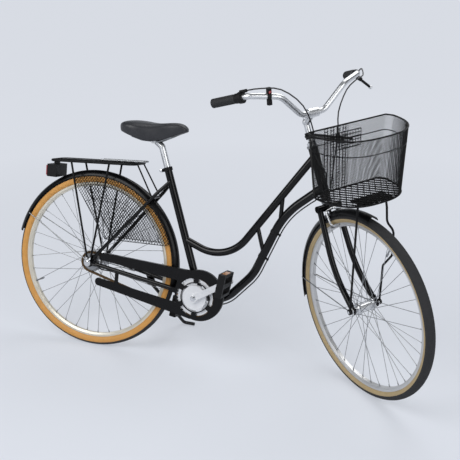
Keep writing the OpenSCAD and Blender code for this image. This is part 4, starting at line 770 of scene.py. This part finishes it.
def punched(bm, holes, at):
    """Adds a sheet with rows of square holes to a bmesh, standing on the basket's back wall."""
    sheet = bmesh.new()
    half = Matrix.Diagonal((holes[0] * HOLE_STEP / 2, holes[1] * HOLE_STEP / 2, 1, 1))
    bmesh.ops.create_grid(
        sheet, x_segments=holes[0], y_segments=holes[1], size=1, matrix=UPRIGHT @ half
    )
    woven(sheet, SHEET_WEB)
    flat = Matrix.Diagonal((SHEET_T_SHARE, 1, 1, 1))
    bmesh.ops.transform(sheet, matrix=BACK_WALL @ Matrix.Translation(at) @ flat, verts=sheet.verts)
    mesh = bpy.data.meshes.new("sheet")
    sheet.to_mesh(mesh)
    sheet.free()
    bm.from_mesh(mesh)
    bpy.data.meshes.remove(mesh)


def basket_bracket():
    """The plate, the clamp round the stem and the two arms between them."""
    bm = bmesh.new()
    punched(bm, BRACKET_HOLES, BRACKET_AT)
    clamp = STEM_KNUCKLE - CLAMP_DROP * HEAD_DIR
    peg(bm, clamp, HEAD_DIR, CLAMP_R, CLAMP_H, sides=32, lip=0.06)
    for side in SIDES:
        across = Vector((0, side * ARM_Y, 0))
        wire(bm, [clamp + CLAMP_H / 2 * HEAD_DIR + across, ARM_END + across], ARM_R)
    made = piece("basket_bracket_plate", bm, FRONT, "steering", "black_metal", POWDER_COAT)
    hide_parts("basket_bracket")


def basket_strips():
    """Punched strips up the back wall, nearly as high as it is."""
    bm = bmesh.new()
    for place in STRIP_PLACES:
        punched(bm, STRIP_HOLES, (STRIP_X, place, BASKET_H / 2))
    piece("basket_strips", bm, FRONT, "steering", "black_metal", POWDER_COAT)


basket_bracket()
basket_strips()


# Skirt guards: fine nets stretched on wires beside the rear wheel

SKIRT_R = WHEEL_R - 8
SKIRT_FROM, SKIRT_TO = 19, 109
ARC_STEPS = 24
# Shares of the radius, from the axle
SKIRT_CORNER = (0.135, 0.28)
SKIRT_TOE = (0.9, 0.305)
SKIRT_Y = 30
SKIRT_CELL = (12, 16)
SKIRT_STRAND_W = 2.8
EDGE_WIRE_R = 1.5
# Wires that fan out from the corner, by share of the arc, and hoops across them, by share of the way out
FAN_SHARES = (0.3, 0.55, 0.8)
FAN_WIRE_R = 1.1
HOOP_SHARES = (0.62, 0.86)
HOOP_WIRE_R = 1.0


def skirt_guard(node, side):
    """The net on one side, cut to its outline, and the wires that carry it."""
    axle = REAR_AXLE + Vector((0, side * SKIRT_Y, 0))

    def arc_point(share):
        """Point on the round edge, by share of its length."""
        turn = math.radians(SKIRT_FROM + share * (SKIRT_TO - SKIRT_FROM))
        return axle + SKIRT_R * Vector((math.cos(turn), 0, math.sin(turn)))

    arc = [arc_point(i / ARC_STEPS) for i in range(ARC_STEPS + 1)]
    corner = axle + SKIRT_R * Vector((SKIRT_CORNER[0], 0, SKIRT_CORNER[1]))
    toe = axle + SKIRT_R * Vector((SKIRT_TOE[0], 0, SKIRT_TOE[1]))
    outline = [corner, toe] + arc
    net = diamond_net(2 * SKIRT_R, SKIRT_R, *SKIRT_CELL)
    bmesh.ops.translate(net, verts=net.verts, vec=axle - Vector((SKIRT_R, 0, 0)))
    for a, b in zip(outline, outline[1:] + outline[:1]):
        edge = b - a
        trim(net, a, Vector((edge.z, 0, -edge.x)))
    woven(net, SKIRT_STRAND_W)
    made = piece(node + "_net", net, BIKE, "frame", "black_metal", POWDER_COAT)
    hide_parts(node)
    wires = bmesh.new()
    wire(wires, outline, EDGE_WIRE_R, closed=True)
    for share in FAN_SHARES:
        wire(wires, [corner, arc_point(share)], FAN_WIRE_R)
    for share in HOOP_SHARES:
        wire(wires, [corner + share * (point - corner) for point in arc], HOOP_WIRE_R)
    piece(node + "_wires", wires, BIKE, "frame", "black_metal", POWDER_COAT)


skirt_guard("skirt_guard_right", -1)
skirt_guard("skirt_guard_left", 1)


# Nuts, bolts and caps that hold the bicycle together: radius and height of each, then its place

HEX = 6
REAR_NUT = (10.9, 8.2)
REAR_NUT_Y = 62.8
HUB_CAP = (11, 2.5)
HUB_CAP_TIP = 8
HUB_CAP_Y = -81
STAY_BOLT = (5.2, 3.4)
STAY_BOLT_XS = (-8, 8)
STAY_BOLT_Y = 71.2
STAY_BOLT_UP = 17
SEAT_BOLT = (6.8, 5)
SEAT_BOLT_AT = Vector((-299, 11.5, 742))


def rear_fasteners():
    """Rear axle nut and hub cap, bolts of the stays, and the seat clamp's bolt."""
    bm = bmesh.new()
    peg(bm, REAR_AXLE + Vector((0, REAR_NUT_Y, 0)), (0, 1, 0), *REAR_NUT, sides=HEX)
    peg(bm, REAR_AXLE + Vector((0, HUB_CAP_Y, 0)), (0, -1, 0), *HUB_CAP, tip=HUB_CAP_TIP)
    for side in SIDES:
        for x in STAY_BOLT_XS:
            at = REAR_AXLE + Vector((x, side * STAY_BOLT_Y, STAY_BOLT_UP))
            peg(bm, at, (0, side, 0), *STAY_BOLT, sides=HEX)
        peg(bm, SEAT_BOLT_AT * Vector((1, side, 1)), (0, side, 0), *SEAT_BOLT, sides=HEX)
    piece("rear_fasteners", bm, BIKE, "frame", "steel", CHROME)


FRONT_NUT = (10.9, 8.4)
FRONT_NUT_Y = 55
STEM_CAP = (8.5, 3.5)
STEM_CAP_UP = 13
STEM_BOLT = (6, 5)
STEM_BOLT_UP = 16
CALIPER_AT = Vector((405.8, 0, 691.9))
CALIPER_NUT = (8, 6.5)
CALIPER_NUT_OUT = -4
CALIPER_BOLT = (4, 5)
CALIPER_BOLT_OUT = 2
CLAMP_BOLT = (6, 8)
CLAMP_BOLT_AT = Vector((286, 12, 1006))


def front_fasteners():
    """Front axle nuts, the stem's cap and bolts, and the brake caliper's nut and bolt."""
    bm = bmesh.new()
    for side in SIDES:
        peg(bm, FRONT_AXLE + Vector((0, side * FRONT_NUT_Y, 0)), (0, side, 0), *FRONT_NUT, sides=HEX)
    peg(bm, STEM_KNUCKLE + STEM_CAP_UP * HEAD_DIR, HEAD_DIR, *STEM_CAP)
    peg(bm, STEM_KNUCKLE + STEM_BOLT_UP * HEAD_DIR, HEAD_DIR, *STEM_BOLT, sides=HEX)
    peg(bm, CALIPER_AT + CALIPER_NUT_OUT * HEAD_FWD, HEAD_FWD, *CALIPER_NUT, sides=HEX)
    peg(bm, CALIPER_AT + CALIPER_BOLT_OUT * HEAD_FWD, HEAD_FWD, *CALIPER_BOLT)
    for side in SIDES:
        peg(bm, CLAMP_BOLT_AT * Vector((1, side, 1)), (0, side, 0), *CLAMP_BOLT, sides=HEX)
    piece("front_fasteners", bm, FRONT, "steering", "steel", CHROME)


CRANK_CENTRE = Vector((-103.46, 0, 277))
CRANK_WASHER = (11.5, 2)
CRANK_WASHER_Y = 74.4
CRANK_BOLT = (7.5, 4.5)
CRANK_BOLT_Y = 76.2


def crank_fasteners():
    """A washer and a bolt at each end of the crank axle."""
    bm = bmesh.new()
    for side in SIDES:
        peg(bm, CRANK_CENTRE + Vector((0, side * CRANK_WASHER_Y, 0)), (0, side, 0), *CRANK_WASHER)
        peg(bm, CRANK_CENTRE + Vector((0, side * CRANK_BOLT_Y, 0)), (0, side, 0), *CRANK_BOLT, sides=HEX)
    piece("crank_fasteners", bm, BIKE, "crank", "steel", CHROME)


rear_fasteners()
front_fasteners()
crank_fasteners()


# Handlebar: one bent tube, smooth through its bends

BAR_MIDDLE = Vector((298.09, 0, 1022.75))
BAR_SIZE = Vector((173, 300, 97))
# Shares of the sweep, half-width and rise, and each bend's radius
BAR_KNOTS = ((0, 0.167, 0, 45), (0.05, 0.47, 0.88, 55), (-0.225, 0.803, 1, 30), (-1, 1, 0.65, 0))
BAR_R = 11
BAR_ROUNDNESS = 8
BEND_STEPS = 12


def handlebar():
    """A tube along both mirrored halves of the path, with each corner rounded into a bend."""
    knots = [(BAR_MIDDLE + Vector(knot[:3]) * BAR_SIZE, knot[3]) for knot in BAR_KNOTS]
    mirrored = [(at * Vector((1, -1, 1)), bend) for at, bend in reversed(knots)]
    path = mirrored + knots
    points = [path[0][0]]
    for (before, _), (corner, bend), (after, _) in zip(path, path[1:], path[2:]):
        inward, outward = (corner - before).normalized(), (after - corner).normalized()
        reach = bend * math.tan(inward.angle(outward) / 2)
        start, end = corner - reach * inward, corner + reach * outward
        for step in range(BEND_STEPS + 1):
            share = step / BEND_STEPS
            points.append(start.lerp(corner, share).lerp(corner.lerp(end, share), share))
    points.append(path[-1][0])
    bm = bmesh.new()
    wire(bm, points, BAR_R, roundness=BAR_ROUNDNESS)
    made = piece("handlebar_tube", bm, FRONT, "steering", "alloy", ALLOY, sharp=50)
    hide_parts("handlebar")


handlebar()


# Grips: moulded rings; brake lever: bright ball end; strap: its red tag

GRIP_END = Vector((125.1, 300, 1085.8))
GRIP_DIR = Vector((-0.8914, 0.3929, -0.2257))
GRIP_R = 16
GRIP_RINGS = 13
RING_FROM = 8
RING_STEP = 6.5
RING_WIRE_R = 1.3
RING_POINTS = 28
LEVER_TIP = Vector((233.4, 322.5, 1050.2))
LEVER_BALL_R = 7.6
TAG_AT = Vector((298.2, -176, 1124))
TAG_SIZE = (3, 10, 16)
TAG_EDGE = 1


def grip_rings():
    """Raised rings along both grips."""
    bm = bmesh.new()
    turns = [math.tau * k / RING_POINTS for k in range(RING_POINTS)]
    circle = [Vector((GRIP_R * math.cos(turn), GRIP_R * math.sin(turn), 0)) for turn in turns]
    for side in SIDES:
        mirror = Vector((1, side, 1))
        for i in range(GRIP_RINGS):
            middle = GRIP_END - (RING_FROM + i * RING_STEP) * GRIP_DIR
            at = turned_to(middle * mirror, GRIP_DIR * mirror)
            wire(bm, [at @ point for point in circle], RING_WIRE_R, closed=True)
    piece("grip_rings", bm, FRONT, "steering", "rubber", GRIP_RUBBER)


def lever_ball():
    """The ball at the tip of the brake lever."""
    bm = bmesh.new()
    bmesh.ops.create_icosphere(
        bm, subdivisions=3, radius=LEVER_BALL_R, matrix=Matrix.Translation(LEVER_TIP)
    )
    piece("lever_ball", bm, FRONT, "steering", "alloy", ALLOY, sharp=60)


def strap_tag():
    """A small red tag with softened edges."""
    bm = bmesh.new()
    bmesh.ops.create_cube(bm, size=1, matrix=Matrix.Translation(TAG_AT) @ Matrix.Diagonal((*TAG_SIZE, 1)))
    bmesh.ops.bevel(
        bm, geom=bm.edges[:], offset=TAG_EDGE, segments=2, profile=0.5, affect="EDGES", material=-1
    )
    piece("strap_tag", bm, FRONT, "steering", "red_lens", RED_LENS)


grip_rings()
lever_ball()
strap_tag()


# Gear cable: the loop's own surface, welded and shaded smooth

# Points of the loop closer than this, in metres, become one
WELD_M = 0.00002


def gear_cable():
    """The housing of the loop between the handlebar and the frame."""
    bm = bmesh.new()
    bm.from_mesh(nodes["gear_cable_loop"].data)
    bmesh.ops.remove_doubles(bm, verts=bm.verts, dist=WELD_M)
    mesh = bpy.data.meshes.new("gear_cable_housing")
    bm.to_mesh(mesh)
    bm.free()
    mesh.shade_smooth()
    mesh.materials.append(CABLE_VINYL)
    made = bpy.data.objects.new("gear_cable_housing", mesh)
    bpy.context.scene.collection.objects.link(made)
    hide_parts("gear_cable_loop")
    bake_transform(made)


gear_cable()


# Floor, light and camera, in metres

FLOOR_GREY = "#dce0e8"
ROOM_GREY = "#5d6166"
FLOOR_R = 16
WALL_H = 4
# Share of the paper's brightness that no lamp changes, near the bicycle and far from it
EVEN_NEAR, EVEN_FAR = 0.5, 0.95
NEAR_R, FAR_R = 0.9, 3.0


def studio_paper():
    """Seamless paper: pale blue grey, evenly bright far off, with the soft shadow kept near the bicycle."""
    paper = bpy.data.materials.new("studio_paper")
    paper.use_nodes = True
    paper.node_tree.nodes.clear()
    ray = put(paper, "LightPath").outputs
    seen = put(paper, "Math", {0: ray["Is Camera Ray"], 1: ray["Is Glossy Ray"]}, operation="MAXIMUM")
    seen = put(paper, "Math", {0: seen.outputs[0], 1: ray["Is Transmission Ray"]}, operation="MAXIMUM")
    away = put(paper, "VectorMath", {0: put(paper, "TexCoord").outputs["Object"]}, operation="LENGTH")
    reach = {"From Min": NEAR_R, "From Max": FAR_R, "To Min": EVEN_NEAR, "To Max": EVEN_FAR}
    even = put(paper, "MapRange", {"Value": away.outputs["Value"], **reach}).outputs["Result"]
    share = put(paper, "Math", {0: seen.outputs[0], 1: even}, operation="MULTIPLY")
    lit = put(paper, "BsdfDiffuse", {"Color": linear(FLOOR_GREY)})
    plain = put(paper, "Emission", {"Color": linear(FLOOR_GREY), "Strength": 1.0})
    mixed = put(paper, "MixShader", {0: share.outputs[0], 1: lit.outputs[0], 2: plain.outputs[0]})
    put(paper, "OutputMaterial", {"Surface": mixed.outputs[0]})
    return paper


def paper_sweep():
    """The floor, with a low wall of the same paper far round it."""
    bm = bmesh.new()
    bmesh.ops.create_circle(bm, segments=96, radius=FLOOR_R, cap_ends=True)
    rim = [edge for edge in bm.edges if edge.is_boundary]
    raised = bmesh.ops.extrude_edge_only(bm, edges=rim)["geom"]
    top = [part for part in raised if isinstance(part, bmesh.types.BMVert)]
    bmesh.ops.translate(bm, verts=top, vec=(0, 0, WALL_H))
    bmesh.ops.recalc_face_normals(bm, faces=bm.faces)
    mesh = bpy.data.meshes.new("studio_floor")
    bm.to_mesh(mesh)
    bm.free()
    mesh.materials.append(studio_paper())
    made = bpy.data.objects.new("studio_floor", mesh)
    bpy.context.scene.collection.objects.link(made)


def area_light(name, at, aim, size, power):
    """A square lamp at a point, turned to another."""
    lamp = bpy.data.lights.new(name, "AREA")
    lamp.shape = "SQUARE"
    lamp.size = size
    lamp.energy = power
    made = bpy.data.objects.new(name, lamp)
    made.location = at
    made.rotation_euler = (Vector(aim) - Vector(at)).to_track_quat("-Z", "Y").to_euler()
    bpy.context.scene.collection.objects.link(made)


paper_sweep()
area_light("soft_key", at=(-1.8, -2.6, 3.4), aim=(0, 0, 0.4), size=3.2, power=140)
area_light("soft_fill", at=(3.0, -1.8, 2.4), aim=(0, 0, 0.5), size=2.8, power=65)
area_light("top_back", at=(0.4, 2.2, 3.2), aim=(0, 0, 0.5), size=2.8, power=60)

world = bpy.data.worlds.new("studio")
bpy.context.scene.world = world
world.use_nodes = True
world.node_tree.nodes.clear()
room = put(world, "Background", {"Color": linear(ROOM_GREY), "Strength": 1.0})
put(world, "OutputWorld", {"Surface": room.outputs["Background"]})

CAMERA_AT = Vector((1.0879, -2.7751, 1.8421))
CAMERA_AIM = Vector((0.0453, 0, 0.5941))
LENS_MM = 69.28
SENSOR_MM = 36
lens = bpy.data.cameras.new("camera")
lens.lens = LENS_MM
lens.sensor_width = SENSOR_MM
camera = bpy.data.objects.new("camera", lens)
camera.location = CAMERA_AT
camera.rotation_euler = (CAMERA_AIM - CAMERA_AT).to_track_quat("-Z", "Y").to_euler()
bpy.context.scene.collection.objects.link(camera)
bpy.context.scene.camera = camera
bpy.context.scene.view_settings.view_transform = "Standard"
